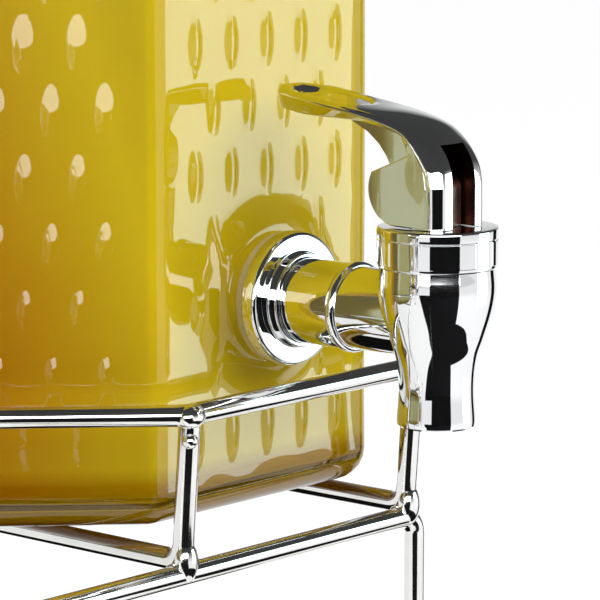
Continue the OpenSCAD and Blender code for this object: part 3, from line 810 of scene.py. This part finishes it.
along, front, odd_face, skin_mask = (named(bump_tree, label) for label in MARKS)
where = add_node(bump_tree, "GeometryNodeInputPosition").outputs[0]
up = field("DIVIDE", add_node(bump_tree, "ShaderNodeSeparateXYZ", where).outputs["Z"], MM)
column = field("ROUND", field("DIVIDE", along, rule["Column Pitch"]))
aside = field("SUBTRACT", along, field("MULTIPLY", column, rule["Column Pitch"]))
counted = field("ADD", field("ABSOLUTE", column), field("SUBTRACT", 1.0, odd_face))
shifted = field("SUBTRACT", 1.0, field("MODULO", counted, 2.0))
step_up = field("MULTIPLY", rule["Row Pitch"], 2.0)
base_row = field("MULTIPLY_ADD", shifted, rule["Row Pitch"], rule["First Row"])
row = field("ROUND", field("DIVIDE", field("SUBTRACT", up, base_row), step_up))
middle = field("MULTIPLY_ADD", row, step_up, base_row)
above = field("SUBTRACT", up, middle)
wide = field("POWER", field("ABSOLUTE", field("DIVIDE", aside, rule["Half Width"])), 2.0)
tall = field("POWER", field("ABSOLUTE", field("DIVIDE", above, rule["Half Height"])), 2.0)
dome = field("MAXIMUM", field("SUBTRACT", 1.0, field("ADD", wide, tall)), 0.0)
rise = field("MULTIPLY", field("POWER", dome, rule["Bluntness"]), rule["Relief"])
inside_rows = field("MULTIPLY", field("GREATER_THAN", middle, rule["Lowest Row"]),
                    field("LESS_THAN", middle, rule["Top Row"]))
inside_columns = field("LESS_THAN", field("ABSOLUTE", column), rule["Edge Column"])
tap_rise = field("SUBTRACT", middle, rule["Tap Height"])
bump_place = field("MULTIPLY", column, rule["Column Pitch"])
from_tap = span(bump_place, tap_rise)
near_tap = field("MULTIPLY", front, field("LESS_THAN", from_tap, rule["Clear Radius"]))
allowed = field("MULTIPLY", field("MULTIPLY", inside_rows, inside_columns),
                field("SUBTRACT", 1.0, near_tap))
bumps = field("MULTIPLY", rise, allowed)
pad_up = field("SUBTRACT", up, rule["Tap Height"])
pad_away = span(along, pad_up)
pad_fall = add_node(bump_tree, "ShaderNodeMapRange", pad_away, rule["Pad Flat"], rule["Pad Radius"],
                    1.0, 0.0, interpolation_type="SMOOTHSTEP")
pad = field("MULTIPLY", field("MULTIPLY", pad_fall.outputs[0], front), rule["Pad Height"])
ripple = add_node(bump_tree, "ShaderNodeTexNoise", Vector=where, Scale=rule["Wave Scale"], Detail=1.0)
wave = field("MULTIPLY", field("SUBTRACT", ripple.outputs["Fac"], 0.5), rule["Wave"])
lift_mm = field("MULTIPLY", field("ADD", field("ADD", bumps, pad), wave), skin_mask)
facing = add_node(bump_tree, "GeometryNodeInputNormal")
push = add_node(bump_tree, "ShaderNodeVectorMath", facing.outputs[0], operation="SCALE",
                Scale=field("MULTIPLY", lift_mm, MM))
move = add_node(bump_tree, "GeometryNodeSetPosition", Geometry=rule["Geometry"], Offset=push.outputs[0])
hand_over(bump_tree, move.outputs[0], rule["Finish"], made)
jar = run_tree(plain_jar, bump_tree, Finish=jar_glass)
for label in MARKS:
    jar.data.attributes.remove(jar.data.attributes[label])
SHANK_HOLE = 8.4
points, faces = lathe(rod(SHANK_HOLE, 30, -30), 64, False)
points = [(x, y - JAR_ACROSS / 2 + 2, z + PAD_HEIGHT_ON_JAR) for x, y, z in along_y(points)]
cut(jar, new_piece("shank_hole", points, faces, jar_glass))
smooth_shade(jar.data, JAR_CREASE)
place_at_units(jar, "jar", ["jar", "jar_base"], (0, JAR_Y, JAR_Z))

# %% [markdown]
# ## Juice
# The jar in the picture is full of cloudy orange juice, and the tap mirrors a paler drink in the next
# one. Each is a closed body that follows the inner wall and goes a hair into it, so that no air gap
# shows between juice and glass, with a level top that creeps up the wall a little all round.

# %% Juice
FILL_Z, CREEP = 149.0, 1.2
INTO_WALL = 0.2
across, corner = JAR_ACROSS - 2 * WALL + 2 * INTO_WALL, JAR_CORNER - WALL + INTO_WALL
wall = body_rings(across, corner, corner, BASE - INTO_WALL, BODY_H, NECK_IN, NECK_Z, [])
rings = [(ring, z) for ring, z in wall if z < FILL_Z - 8]
for inset, z in ((0, FILL_Z - 8), (0, FILL_Z - 4), (0, FILL_Z + CREEP), (0.6, FILL_Z + CREEP * 0.45),
                 (1.5, FILL_Z + CREEP * 0.15), (3.0, FILL_Z), (30.0, FILL_Z)):
    rings.append((octagon_ring(across - 2 * inset, corner)[0], z))
points, faces = closed_skin(rings)
juice = new_piece("drink", points, faces, orange_juice, JAR_CREASE)
drinks = place_at_units(juice, "jar", [], (0, JAR_Y, JAR_Z))
drinks[1].data.materials[0] = lemonade

# %% [markdown]
# ## Lids
# A lid sits on each neck: a low glass dome whose plug goes into the neck with a silicone ring round
# it, and a chromed ball knob held by a screw from below. The photograph stops below them, so they are
# the usual kind. They are round, so each is one outline carried round its axis; bevelled cylinders
# could be joined instead, but the lid's edge would not run as smoothly into its dome.

# %% Lid and ring
LID_Z = LIP_Z + 0.2
LID_R, LID_FLAT, LID_T, LID_DOME = 67.0, 11.0, 5.0, 9.0
PLUG_R, PLUG_WALL, PLUG_H = 52.0, 5.0, 9.0
RING_GROOVE, RING_H, RING_OUT = 1.5, 4.0, 55.65
SCREW_R, SCREW_HEAD_R, SCREW_HEAD_H = 2.5, 5.0, 2.5


def swing(low, high, t):
    return low + (high - low) * (1 - math.cos(math.pi * t)) / 2


dome_line = [(LID_R - (LID_R - LID_FLAT) * t, swing(LID_T, LID_T + LID_DOME, t))
             for t in np.linspace(0, 1, 25)]
hollow_r = PLUG_R - PLUG_WALL
hollow_line = [(LID_FLAT + (hollow_r - LID_FLAT) * t, swing(LID_DOME, 0, t))
               for t in np.linspace(0, 1, 21)]
groove, groove_top, groove_low = PLUG_R - RING_GROOVE, -PLUG_H / 2 + RING_H / 2, -PLUG_H / 2 - RING_H / 2
outline = rounded([(LID_R, LID_T), (LID_R, 0), (PLUG_R, 0), (PLUG_R, groove_top), (groove, groove_top),
                   (groove, groove_low), (PLUG_R, groove_low), (PLUG_R, -PLUG_H), (hollow_r, -PLUG_H),
                   (hollow_r, 0)], [0, 2, 0.6, 0.3, 0.2, 0.2, 0.3, 1.2, 1.2, 0], 4, False)
bore = SCREW_R + 0.1
outline += hollow_line[::-1][1:] + [(bore, LID_DOME), (bore, LID_T + LID_DOME)] + dome_line[::-1][:-1]
place_at_units(turned("dome_lid", outline, jar_glass, 128), "lid", ["lid"],
               (0, JAR_Y, JAR_Z + LID_Z))

ring_line = rounded([(groove, -RING_H / 2), (RING_OUT - 1.2, -RING_H / 2), (RING_OUT, 0),
                     (RING_OUT - 1.2, RING_H / 2), (groove, RING_H / 2)], [0.3, 0.6, 0.8, 0.6, 0.3], 4)
place_at_units(turned("lid_ring", ring_line, gasket_silicone, 128), "lid", ["lid_seal"],
               (0, JAR_Y, JAR_Z + LID_Z - PLUG_H / 2))

# %% Knob and screw
KNOB_BALL, KNOB_FOOT_R, KNOB_NECK_R, KNOB_FOOT_H, KNOB_NECK_H = 13.0, 9.0, 5.5, 3.0, 6.0
ball_z = KNOB_FOOT_H + KNOB_NECK_H + KNOB_BALL * 0.75
knob_line = curve_through([(KNOB_FOOT_R, 0.8), (KNOB_FOOT_R - 0.6, 2.4), (KNOB_NECK_R + 0.9, 4.0),
                           (KNOB_NECK_R, 6.0), (KNOB_NECK_R + 0.9, 7.6)], 5)
low = -math.acos((KNOB_NECK_R + 1.6) / KNOB_BALL)
ball_line = [(KNOB_BALL * math.cos(a), ball_z + KNOB_BALL * math.sin(a))
             for a in np.linspace(low, math.pi / 2, 22)]
outline = [(0, 0), (KNOB_FOOT_R - 0.8, 0)] + [tuple(p) for p in knob_line]
outline += ball_line[:-1] + [(0, ball_z + KNOB_BALL)]
place_at_units(turned("ball_knob", outline, tap_chrome, 96, False), "lid", ["lid_knob"],
               (0, JAR_Y, JAR_Z + LID_Z + LID_T + LID_DOME))

SCREW_REACH = LID_T + 9
screw_line = rounded([(0, -SCREW_HEAD_H), (SCREW_HEAD_R, -SCREW_HEAD_H), (SCREW_HEAD_R, 0), (SCREW_R, 0),
                      (SCREW_R, SCREW_REACH), (0, SCREW_REACH)], [0, 1.0, 0.2, 0.2, 0.6, 0], 4, False)
screw = turned("lid_screw_turned", screw_line, pin_steel, 48, False)
slot_box = [(x * 4, y * 0.6, z - SCREW_HEAD_H) for z in (-1, 1.2) for y in (-1, 1) for x in (-1, 1)]
BOX_FACES = [(0, 1, 3, 2), (4, 6, 7, 5), (0, 4, 5, 1), (2, 3, 7, 6), (0, 2, 6, 4), (1, 5, 7, 3)]
cut(screw, new_piece("driver_slot", slot_box, BOX_FACES, pin_steel))
place_at_units(screw, "lid", ["lid_screw"], (0, JAR_Y, JAR_Z + LID_Z + LID_DOME))

# %% [markdown]
# ## Taps
# The tap body is a turned upright, swelling under the collar and drawn in to a waist above the mouth,
# with a tube to the jar that has a small bead round it. The two are joined as solids so that the seam
# between them is a true crease, then bored; two pieces pushed into each other would show no such seam.

# %% Tap body
COLLAR_Z, COLLAR_H, MOUTH_Z = 11.6, 9.2, 24.3
FLANGE_FRONT, FLANGE_T, FLANGE_R = 40.9, 4.0, 15.6
BEAD_Y, BEAD_W, TUBE_R = 23.5, 2.4, 9.9
SHANK_R, SHANK_TIP = 8.0, 69.5
CHAMBER_R, CHAMBER_FLOOR, OUTLET_R = 8.0, -4.4, 5.8
# radius, depth below the collar
body_keys = [(13.0, 0), (13.3, 5), (12.6, 10), (10.9, 15.7), (9.4, 20), (8.7, 24), (8.55, 28.6),
             (8.9, 34), (8.85, 35.5)]
flank = [(r, COLLAR_Z - depth) for r, depth in curve_through(body_keys, 5)]
outline = [(0, COLLAR_Z), (12.6, COLLAR_Z)] + flank + [(8.5, -MOUTH_Z), (0, -MOUTH_Z)]
tap = turned("tap_upright", outline, tap_chrome, 128, False)
tube = [(0, 0), (TUBE_R - 0.4, 0), (TUBE_R - 0.4, BEAD_Y - BEAD_W / 2)]
tube += [(TUBE_R - 0.35 + 0.9 * math.sin(a), BEAD_Y - BEAD_W / 2 * math.cos(a))
         for a in np.linspace(0.1, math.pi - 0.1, 9)]
tube += [(TUBE_R, BEAD_Y + BEAD_W / 2), (TUBE_R, FLANGE_FRONT), (SHANK_R, FLANGE_FRONT + 0.2),
         (SHANK_R, SHANK_TIP - 1), (SHANK_R - 1, SHANK_TIP), (0, SHANK_TIP)]
cut(tap, turned_along_y("tap_tube", tube, tap_chrome, 96, False), "UNION")
for name, radius, low, high in (("chamber", CHAMBER_R, CHAMBER_FLOOR, COLLAR_Z + 1),
                                ("outlet", OUTLET_R, -MOUTH_Z - 1, 0)):
    cut(tap, turned(name, rod(radius, low, high), tap_chrome, 64, False))
place_at_units(tap, "jar", ["tap_body"], (0, TAP_Y, TAP_Z))

# %% [markdown]
# The flange is a plate with a short boss that presses a gasket against the pad, and the collar closes
# the top of the tap. All three are turned. The collar's four grips could be pieces of their own, but
# they are part of its wall, so points of the wall are moved out and its faces stay joined.

# %% Flange, gasket and collar
BOSS_R, BOSS_OUT, BOSS_STEP = 11.0, -2.5, 0.3
on_shank, on_tube = SHANK_R + 0.1, TUBE_R + 0.1
flange_line = rounded([(on_shank, FLANGE_T), (on_shank, BOSS_STEP), (on_tube, BOSS_STEP),
                       (on_tube, BOSS_OUT), (BOSS_R, BOSS_OUT), (BOSS_R, 0), (FLANGE_R, 0),
                       (FLANGE_R, FLANGE_T)], [0, 0, 0, 0.2, 0.7, 0.5, 1.3, 0.4], 5)
place_at_units(turned_along_y("tap_flange_turned", flange_line, tap_chrome, 128), "jar",
               ["tap_flange"], (0, TAP_Y + FLANGE_FRONT, TAP_Z))
GASKET_T, GASKET_R = 2.6, 15.0
gasket_line = rounded([(on_shank, 0), (GASKET_R, 0), (GASKET_R, GASKET_T), (on_shank, GASKET_T)],
                      [0, 0.8, 0.8, 0], 4)
place_at_units(turned_along_y("tap_gasket_ring", gasket_line, gasket_silicone, 96), "jar",
               ["tap_gasket"], (0, TAP_Y + FLANGE_FRONT + FLANGE_T, TAP_Z))

COLLAR_R, STEM_HOLE = 13.4, 3.35
RIM_OUT, RIM_H = 0.25, 2.5
GRIP_OUT, GRIP_HALF_TURN = 0.2, 32.0
rim_z, rim_r = COLLAR_H - RIM_H, COLLAR_R + RIM_OUT
collar_line = rounded([(STEM_HOLE, 0), (COLLAR_R - 0.35, 0), (COLLAR_R, 0.35), (COLLAR_R, 0.95),
                       (COLLAR_R, 1.1), (COLLAR_R, rim_z - 0.35), (COLLAR_R, rim_z - 0.2),
                       (COLLAR_R, rim_z), (rim_r, rim_z + 0.15), (rim_r, COLLAR_H),
                       (STEM_HOLE, COLLAR_H)], [0.2, 0.1, 0.15, 0, 0, 0, 0, 0.1, 0.1, 0.6, 0.3], 5)
points, faces = lathe(collar_line, 360)
gripped = []
for x, y, z in points:
    off = (math.degrees(math.atan2(y, x)) % 90) - 45
    on_wall = 1.0 < z < rim_z - 0.3 and math.hypot(x, y) > COLLAR_R - 0.05
    if on_wall and abs(off) < GRIP_HALF_TURN:
        x, y = x * (1 + GRIP_OUT / COLLAR_R), y * (1 + GRIP_OUT / COLLAR_R)
    gripped.append((x, y, z))
place_at_units(new_piece("tap_collar_turned", gripped, faces, tap_chrome, 30.0), "jar",
               ["tap_collar"], (0, TAP_Y, TAP_Z + COLLAR_Z))

# %% [markdown]
# The lever is a casting of three forms that run into each other: a crowned band that rises at the
# front of the collar, rounds over and runs back as a thumb plate with an oval tray and a dimple; a cam
# block that rolls on the collar; and a narrower web between the two. The band is lofted along its
# outer line and the others are flat outlines carried across. The slot that straddles the stem is cut
# last, so its edges stay crisp, and its walls are painted dark brown, which is painted shade.

# %% Lever line
PIN_Z = COLLAR_Z + COLLAR_H + 0.2 + 8.0
CAM_R, CAM_Y = 8.0, 5.0
LEVER_HALF, LEVER_FRONT, LEVER_CREASE = 9.0, 7.4, 22.0
CHEEK_FACING = 0.995
BAND, FRONT_BAND, FRONT_RUN = 2.8, 4.8, 7.0
NOSE, NOSE_START, NOSE_RUN = 4.8, 14.0, 22.0
CHAMFER, FRONT_CHAMFER = 0.9, 1.2
UNDERCUT, UNDERCUT_START, UNDERCUT_RUN = 2.2, -1.0, 6.0
TIP_Y, EDGE, ROUND_Y, ROUND_Z, ROUND_LEAD, ROUND_RISE, CROWN = 44.4, 1.4, 34.0, 19.8, 1.5, 0.12, 0.3
# outer y, outer z, drop of the edges below the crown
outer_keys = [(-LEVER_FRONT, -8.0, 0.2), (-LEVER_FRONT, -4.5, 0.2), (-LEVER_FRONT, -1.0, 0.25),
              (-LEVER_FRONT, 1.9, 0.4), (-6.9, 5.6, 0.9), (-5.3, 9.0, 1.6), (-2.4, 12.2, 2.1),
              (1.8, 15.0, 2.1), (8.3, 16.6, 1.4), (17.4, 17.6, 0.5), (26.0, 18.7, CROWN),
              (ROUND_Y, ROUND_Z, CROWN)]
spine = [tuple(p) for p in curve_through(outer_keys, 7)]
half_widths = [LEVER_HALF] * len(spine)
for a in np.linspace(0, math.pi / 2, 14)[1:]:
    reach = (TIP_Y - ROUND_Y - ROUND_LEAD) * math.sin(a)
    spine.append((ROUND_Y + ROUND_LEAD * min(1, 2 * a) + reach,
                  ROUND_Z + (ROUND_LEAD + reach) * ROUND_RISE, CROWN * math.cos(a)))
    half_widths.append(max(LEVER_HALF * math.cos(a), 0.5))
print("points along the lever:", len(spine))


# %% Lever band
def band_section(half, thick, drop, edge, under, steps=20):
    """A plate's cross-section of (x, out): chamfered long edges lower than the middle, and sides
    drawn in below. The underside and the top are cut into steps."""
    edge = min(edge, 0.4 * half, 0.4 * thick)
    under = min(under, 0.25 * half)
    bend = 6
    corners = rounded([(under - half, -thick), (half - under, -thick), (half, -edge), (half - edge, 0),
                       (edge - half, 0), (-half, -edge)],
                      [min(edge, 0.6)] * 2 + [min(edge, 0.9)] * 4, bend)
    underside, top = bend, 4 * (bend + 1) - 1
    dense = []
    for n, (a, b) in enumerate(zip(corners, corners[1:] + corners[:1])):
        count = steps if n in (underside, top) else 1
        dense += [(a[0] + (b[0] - a[0]) * t, a[1] + (b[1] - a[1]) * t)
                  for t in np.arange(count) / count]
    return [(x, d - drop * (x / half) ** 2) for x, d in dense]


def ease(t):
    """A smooth step from 0 to 1."""
    t = min(1.0, max(0.0, t))
    return t * t * (3 - 2 * t)


DIMPLE_Y, DIMPLE_R, DIMPLE_DEEP = 37.2, 4.0, 1.3
TRAY_Y, TRAY_LONG, TRAY_WIDE, TRAY_DEEP, TRAY_EDGE = 30.6, 11.9, 7.2, 0.7, 0.2
points = []
for k, (y0, z0, drop) in enumerate(spine):
    before = np.array(spine[max(k - 1, 0)][:2])
    after = np.array(spine[min(k + 1, len(spine) - 1)][:2])
    along = (after - before) / np.linalg.norm(after - before)
    out = np.array([-along[1], along[0]])
    near = min(1.0, max(0.0, (TIP_Y - y0) / EDGE))
    pull = EDGE * (1 - math.sqrt(1 - (1 - near) ** 2))
    front = 1 - ease((y0 + FRONT_RUN) / FRONT_RUN)
    thick = BAND + (NOSE - BAND) * ease((y0 - NOSE_START) / NOSE_RUN) + FRONT_BAND * front
    section = band_section(half_widths[k], thick - 2 * pull, drop, CHAMFER + FRONT_CHAMFER * front,
                           UNDERCUT * ease((y0 - UNDERCUT_START) / UNDERCUT_RUN))
    for x, d in section:
        y, z = np.array([y0, z0]) + out * (d - pull)
        if d > -thick / 2:
            tray = math.hypot(x / TRAY_WIDE, (y - TRAY_Y) / TRAY_LONG)
            z -= TRAY_DEEP * ease((1 - tray) / TRAY_EDGE)
            z -= DIMPLE_DEEP * max(0.0, 1 - ((y - DIMPLE_Y) ** 2 + x * x) / DIMPLE_R ** 2) ** 0.5
        points.append((x, y, z))
sides = len(section)
faces = ring_faces(sides, len(spine))
faces += [tuple(range(sides)), tuple(range((len(spine) - 1) * sides, len(spine) * sides))]
lever = new_piece("tap_lever_cast", points, faces, tap_chrome)
print("lever band faces:", len(faces))


# %% Lever cam, web and slot
def flat_block(name, outline, half, bevel, finish):
    """An outline of (y, z) carried across X, with bevelled cheeks."""
    line = np.array(outline)
    middle = line.mean(0)
    pulled = [tuple(p + (middle - p) / np.linalg.norm(middle - p) * bevel) for p in line]
    layers = ((-half, pulled), (-half + bevel, outline), (half - bevel, outline), (half, pulled))
    points = [(x, y, z) for x, ring in layers for y, z in ring]
    n = len(outline)
    faces = [tuple(range(n)), tuple(range(3 * n, 4 * n))] + ring_faces(n, len(layers))
    return new_piece(name, points, faces, finish)


cam_arc = [(CAM_Y + CAM_R * math.cos(a), CAM_R * math.sin(a))
           for a in np.radians(np.linspace(-90, 28, 30))]
cam_outline = [(-4.1, -CAM_R)] + cam_arc + [(-0.6, 9.0), (-2.6, 6.6), (-3.6, 4.0), (-4.05, 1.0)]
cut(lever, flat_block("cam_block", cam_outline, LEVER_HALF + 0.04, 0.45, tap_chrome), "UNION")
web_outline = [(1.0, 6.0), (8.3, 4.9), (9.6, 7.0), (12.0, 9.7), (15.4, 12.4), (20.6, 14.9), (25.0, 16.0),
               (15.0, 16.0), (7.6, 14.9), (2.6, 12.7), (-1.6, 9.6)]
cut(lever, flat_block("arch_web", web_outline, LEVER_HALF - 2.6, 0.3, tap_chrome), "UNION")
SLOT_HALF, SLOT_LOW, SLOT_TOP, SLOT_FRONT, SLOT_BACK = 4.05, -9.0, 10.4, -9.5, 7.6
slot_points = [(x, y, z) for z in (SLOT_LOW, SLOT_TOP) for y in (SLOT_FRONT, SLOT_BACK)
               for x in (-SLOT_HALF, SLOT_HALF)]
# the slot's walls take a dark brown finish: painted shade in the recess
cut(lever, new_piece("stem_slot", slot_points, BOX_FACES, slot_film))
smooth_shade(lever.data, LEVER_CREASE)
for face in lever.data.polygons:
    face.use_smooth = abs(face.normal.x) < CHEEK_FACING
place_at_units(lever, "lever", ["tap_lever"], (0, TAP_Y, TAP_Z + PIN_Z))

# %% [markdown]
# The stem comes up through the collar and ends in an eye on the lever's pin. Inside the tap sit the
# seat seal and, behind the glass, the inner gasket and the nut. These and the pin are hidden at rest,
# so their CAD solids stay and only get their finishes.

# %% Stem and hidden fittings
EYE_W, EYE_R, PIN_HOLE, STEM_R, STEM_END = 7.4, 4.0, 2.05, 3.0, -3.2
eye_base = COLLAR_Z + COLLAR_H + 0.2
arc = [(EYE_R * math.cos(a), PIN_Z + EYE_R * math.sin(a)) for a in np.linspace(0, math.pi, 25)]
eye_line = [(-EYE_R, eye_base), (EYE_R, eye_base)] + arc
n = len(eye_line)
bevel = 0.5
drawn_in = 1 - bevel / EYE_R
layers = ((-EYE_W / 2, drawn_in), (-EYE_W / 2 + bevel, 1.0), (EYE_W / 2 - bevel, 1.0), (EYE_W / 2, drawn_in))
middle_z = (eye_base + PIN_Z) / 2
points = [(x, y * k, middle_z + (z - middle_z) * (k if z > eye_base else 1.0))
          for x, k in layers for y, z in eye_line]
faces = [tuple(range(n)), tuple(range(3 * n, 4 * n))] + ring_faces(n, len(layers))
# the stem is dark brown: painted shade, as it sits in the slot
stem = new_piece("tap_stem_turned", points, faces, stem_steel)
cut(stem, turned("stem_rod", rod(STEM_R, STEM_END, eye_base + 1), stem_steel, 48, False), "UNION")
points, faces = lathe(rod(PIN_HOLE, -9, 9), 40, False)
cut(stem, new_piece("pin_hole", [(z, y, PIN_Z - x) for x, y, z in points], faces, stem_steel))
place_at_units(stem, "stem", ["tap_stem"], (0, TAP_Y, TAP_Z))

for unit in UNITS:
    for label, finish in (("tap_inner_gasket", gasket_silicone), ("tap_nut", nut_plastic),
                          ("tap_seat_seal", gasket_silicone), ("tap_pin", pin_steel)):
        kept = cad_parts[f"{label}_{unit}"]
        kept.data.materials.clear()
        kept.data.materials.append(finish)
print("kept CAD nodes dressed")

# %% [markdown]
# ## Rack
# The rack is 5 mm wire: two leg frames, one octagonal rail round each jar, and two cradle wires under
# each jar that bend up to carry the rail. Wire is a path and a round section, so one Geometry Nodes
# tree makes every wire from its centre line and puts the weld beads on marked points of it. A bevelled
# curve could do the same, but would need the beads added to each wire by hand.

# %% Wire tree
WIRE_R = 2.5
wire_tree, given, made = shape_tree("wire_with_welds", [
    ("Wire Radius", "Float", WIRE_R * MM), ("Sides", "Int", 32), ("Finish", "Material", None)])
path = add_node(wire_tree, "GeometryNodeMeshToCurve", Mesh=given["Geometry"])
section = add_node(wire_tree, "GeometryNodeCurvePrimitiveCircle", Resolution=given["Sides"],
                   Radius=given["Wire Radius"])
tube = add_node(wire_tree, "GeometryNodeCurveToMesh", Curve=path.outputs[0],
                Profile_Curve=section.outputs["Curve"], Fill_Caps=True)
ball = add_node(wire_tree, "GeometryNodeMeshUVSphere", Segments=28, Rings=18, Radius=1.0)
put = add_node(wire_tree, "GeometryNodeInstanceOnPoints", Points=given["Geometry"],
               Selection=named(wire_tree, "bead", "BOOLEAN"), Instance=ball.outputs["Mesh"],
               Scale=named(wire_tree, "bead_size", "FLOAT_VECTOR"))
both = add_node(wire_tree, "GeometryNodeJoinGeometry")
join(wire_tree, (tube.outputs[0], both.inputs[0]), (put.outputs[0], both.inputs[0]))
hand_over(wire_tree, both.outputs[0], given["Finish"], made, smooth=True)
print("nodes in the wire tree:", len(wire_tree.nodes))


# %% Wire helpers
def wire_piece(name, paths, beads, node):
    """Wires along paths of points in mm, with weld beads of (place, half sizes)."""
    points, edges = [], []
    for line, closed in paths:
        start = len(points)
        points += [tuple(p) for p in line]
        edges += [(start + k, start + k + 1) for k in range(len(line) - 1)]
        if closed:
            edges.append((start + len(line) - 1, start))
    sizes, marks = [(0, 0, 0)] * len(points), [False] * len(points)
    for place, size in beads:
        points.append(place)
        sizes.append(tuple(s * MM for s in size))
        marks.append(True)
    mesh = bpy.data.meshes.new(name)
    mesh.from_pydata([Vector(map(float, p)) * MM for p in points], edges, [])
    for label, kind, values, key in (("bead", "BOOLEAN", marks, "value"),
                                     ("bead_size", "FLOAT_VECTOR", sizes, "vector")):
        mesh.attributes.new(label, kind, "POINT").data.foreach_set(key, np.array(values).ravel())
    line = bpy.data.objects.new(name, mesh)
    scene.collection.objects.link(line)
    piece = run_tree(line, wire_tree, Finish=rack_chrome)
    for label in ("bead", "bead_size"):
        if label in piece.data.attributes:
            piece.data.attributes.remove(piece.data.attributes[label])
    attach(piece, "rack")
    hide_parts(node)
    print(name, "faces:", len(piece.data.polygons))


def bent(corners, radius, closed=False, steps=10):
    """A path with round bends of the given centre-line radius at its inner corners."""
    corners = [np.array(c, float) for c in corners]
    line = []
    count = len(corners)
    for k, corner in enumerate(corners):
        if not closed and k in (0, count - 1):
            line.append(corner)
            continue
        a, b = corners[k - 1] - corner, corners[(k + 1) % count] - corner
        a, b = a / np.linalg.norm(a), b / np.linalg.norm(b)
        half = math.acos(np.clip(a @ b, -1, 1)) / 2
        hub = corner + (a + b) / np.linalg.norm(a + b) * radius / math.sin(half)
        start, end = corner + a * radius / math.tan(half), corner + b * radius / math.tan(half)
        u, v = (start - hub) / radius, (end - hub) / radius
        full = math.acos(np.clip(u @ v, -1, 1))
        for t in np.linspace(0, 1, steps + 1):
            swung = (u * math.sin((1 - t) * full) + v * math.sin(t * full)) / math.sin(full)
            line.append(hub + radius * swung)
    return line


# %% [markdown]
# A wire is bent over a former, so all its bends have one radius: a path is given by its corners, which
# are then rounded. The beams of the frames carry the cradle wires. Where two wires cross, the weld is a
# small flattened bead, since a seam melted from both would cost far more faces and look the same.

# %% Leg frames, rails and cradle wires
BEAM_Z, BEAM_Y = 100.0, 96.8
LEG_X, BEND_R, CAP_WALL = 246.1, 4.5, 2.0
RAIL_Z, RAIL_R = 137.0, 99.3
RUN_Z, POST_X = 103.2, 39.5
POST_TOP = RAIL_Z - 0.8
# half sizes of the weld beads
OUTER_WELD, INNER_WELD, RAIL_WELD, TACK = (3.1, 2.4, 5.0), (3.0, 2.0, 1.6), (3.9, 3.0, 2.9), (1.9, 1.9, 1.9)
for name, y in (("front_frame", JAR_Y - BEAM_Y), ("rear_frame", JAR_Y + BEAM_Y)):
    front = -1 if y < 0 else 1
    path = bent([(-LEG_X, y, CAP_WALL), (-LEG_X, y, BEAM_Z), (LEG_X, y, BEAM_Z), (LEG_X, y, CAP_WALL)],
                BEND_R)
    beads = []
    for unit in UNITS:
        for side in (-1, 1):
            x = UNIT_X[unit] + side * POST_X
            beads += [((x, y + front * 1.2, BEAM_Z + 3.0), OUTER_WELD),
                      ((x, y - front * 1.8, BEAM_Z + 1.3), INNER_WELD)]
    wire_piece(name + "_wire", [(path, False)], beads, name)
rail_reach = RAIL_R / math.cos(HALF_SIDE)
for unit in UNITS:
    corners = [(UNIT_X[unit] + rail_reach * math.cos(a), JAR_Y + rail_reach * math.sin(a), RAIL_Z)
               for a in (math.radians(22.5 + 45 * k) for k in range(8))]
    beads = [((UNIT_X[unit] + sx * (POST_X + 0.3), JAR_Y + sy * (RAIL_R + 0.5), RAIL_Z - 0.3), RAIL_WELD)
             for sx in (-1, 1) for sy in (-1, 1)]
    rail = bent(corners, 5.0, True, 6)
    wire_piece(f"guard_rail_wire_{unit}", [(rail, True)], beads, f"guard_rail_{unit}")
    paths, beads = [], []
    for side in (-1, 1):
        x = UNIT_X[unit] + side * POST_X
        paths.append((bent([(x, JAR_Y - RAIL_R, POST_TOP), (x, JAR_Y - BEAM_Y, RUN_Z),
                            (x, JAR_Y + BEAM_Y, RUN_Z), (x, JAR_Y + RAIL_R, POST_TOP)], BEND_R), False))
        beads += [((x + side * 1.2, JAR_Y + end * (RAIL_R + 1.0), RAIL_Z - 5.6), TACK) for end in (-1, 1)]
    wire_piece(f"cradle_wire_{unit}", paths, beads, f"cradle_wires_{unit}")

# %% [markdown]
# Rubber caps cover the four leg ends. They are alike, so a tree puts one turned cap on each leg.

# %% Foot caps
CAP_H = 14.0
cap_out, cap_in = WIRE_R + CAP_WALL, WIRE_R + 0.04
cap_line = rounded([(0, 0), (cap_out, 0), (cap_out, CAP_H), (cap_in, CAP_H), (cap_in, CAP_WALL),
                    (0, CAP_WALL)], [0, 1.0, 0.8, 0.3, 0, 0], 4, False)
cap = turned("cap_pattern", cap_line, foot_rubber, 48, False)
cap_tree, given, made = shape_tree("caps_on_legs", [("Cap", "Object", None), ("Finish", "Material", None)])
fetch = add_node(cap_tree, "GeometryNodeObjectInfo", Object=given["Cap"])
put = add_node(cap_tree, "GeometryNodeInstanceOnPoints", Points=given["Geometry"],
               Instance=fetch.outputs["Geometry"])
hand_over(cap_tree, put.outputs[0], given["Finish"], made)
leg_mesh = bpy.data.meshes.new("foot_cap_set")
leg_mesh.from_pydata([Vector((x, JAR_Y + y, 0)) * MM for x in (-LEG_X, LEG_X)
                      for y in (-BEAM_Y, BEAM_Y)], [], [])
legs = bpy.data.objects.new("foot_cap_set", leg_mesh)
scene.collection.objects.link(legs)
caps = run_tree(legs, cap_tree, Cap=cap, Finish=foot_rubber)
bpy.data.objects.remove(cap)
smooth_shade(caps.data)
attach(caps, "rack")
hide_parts("foot_caps")
print("cap faces:", len(caps.data.polygons))
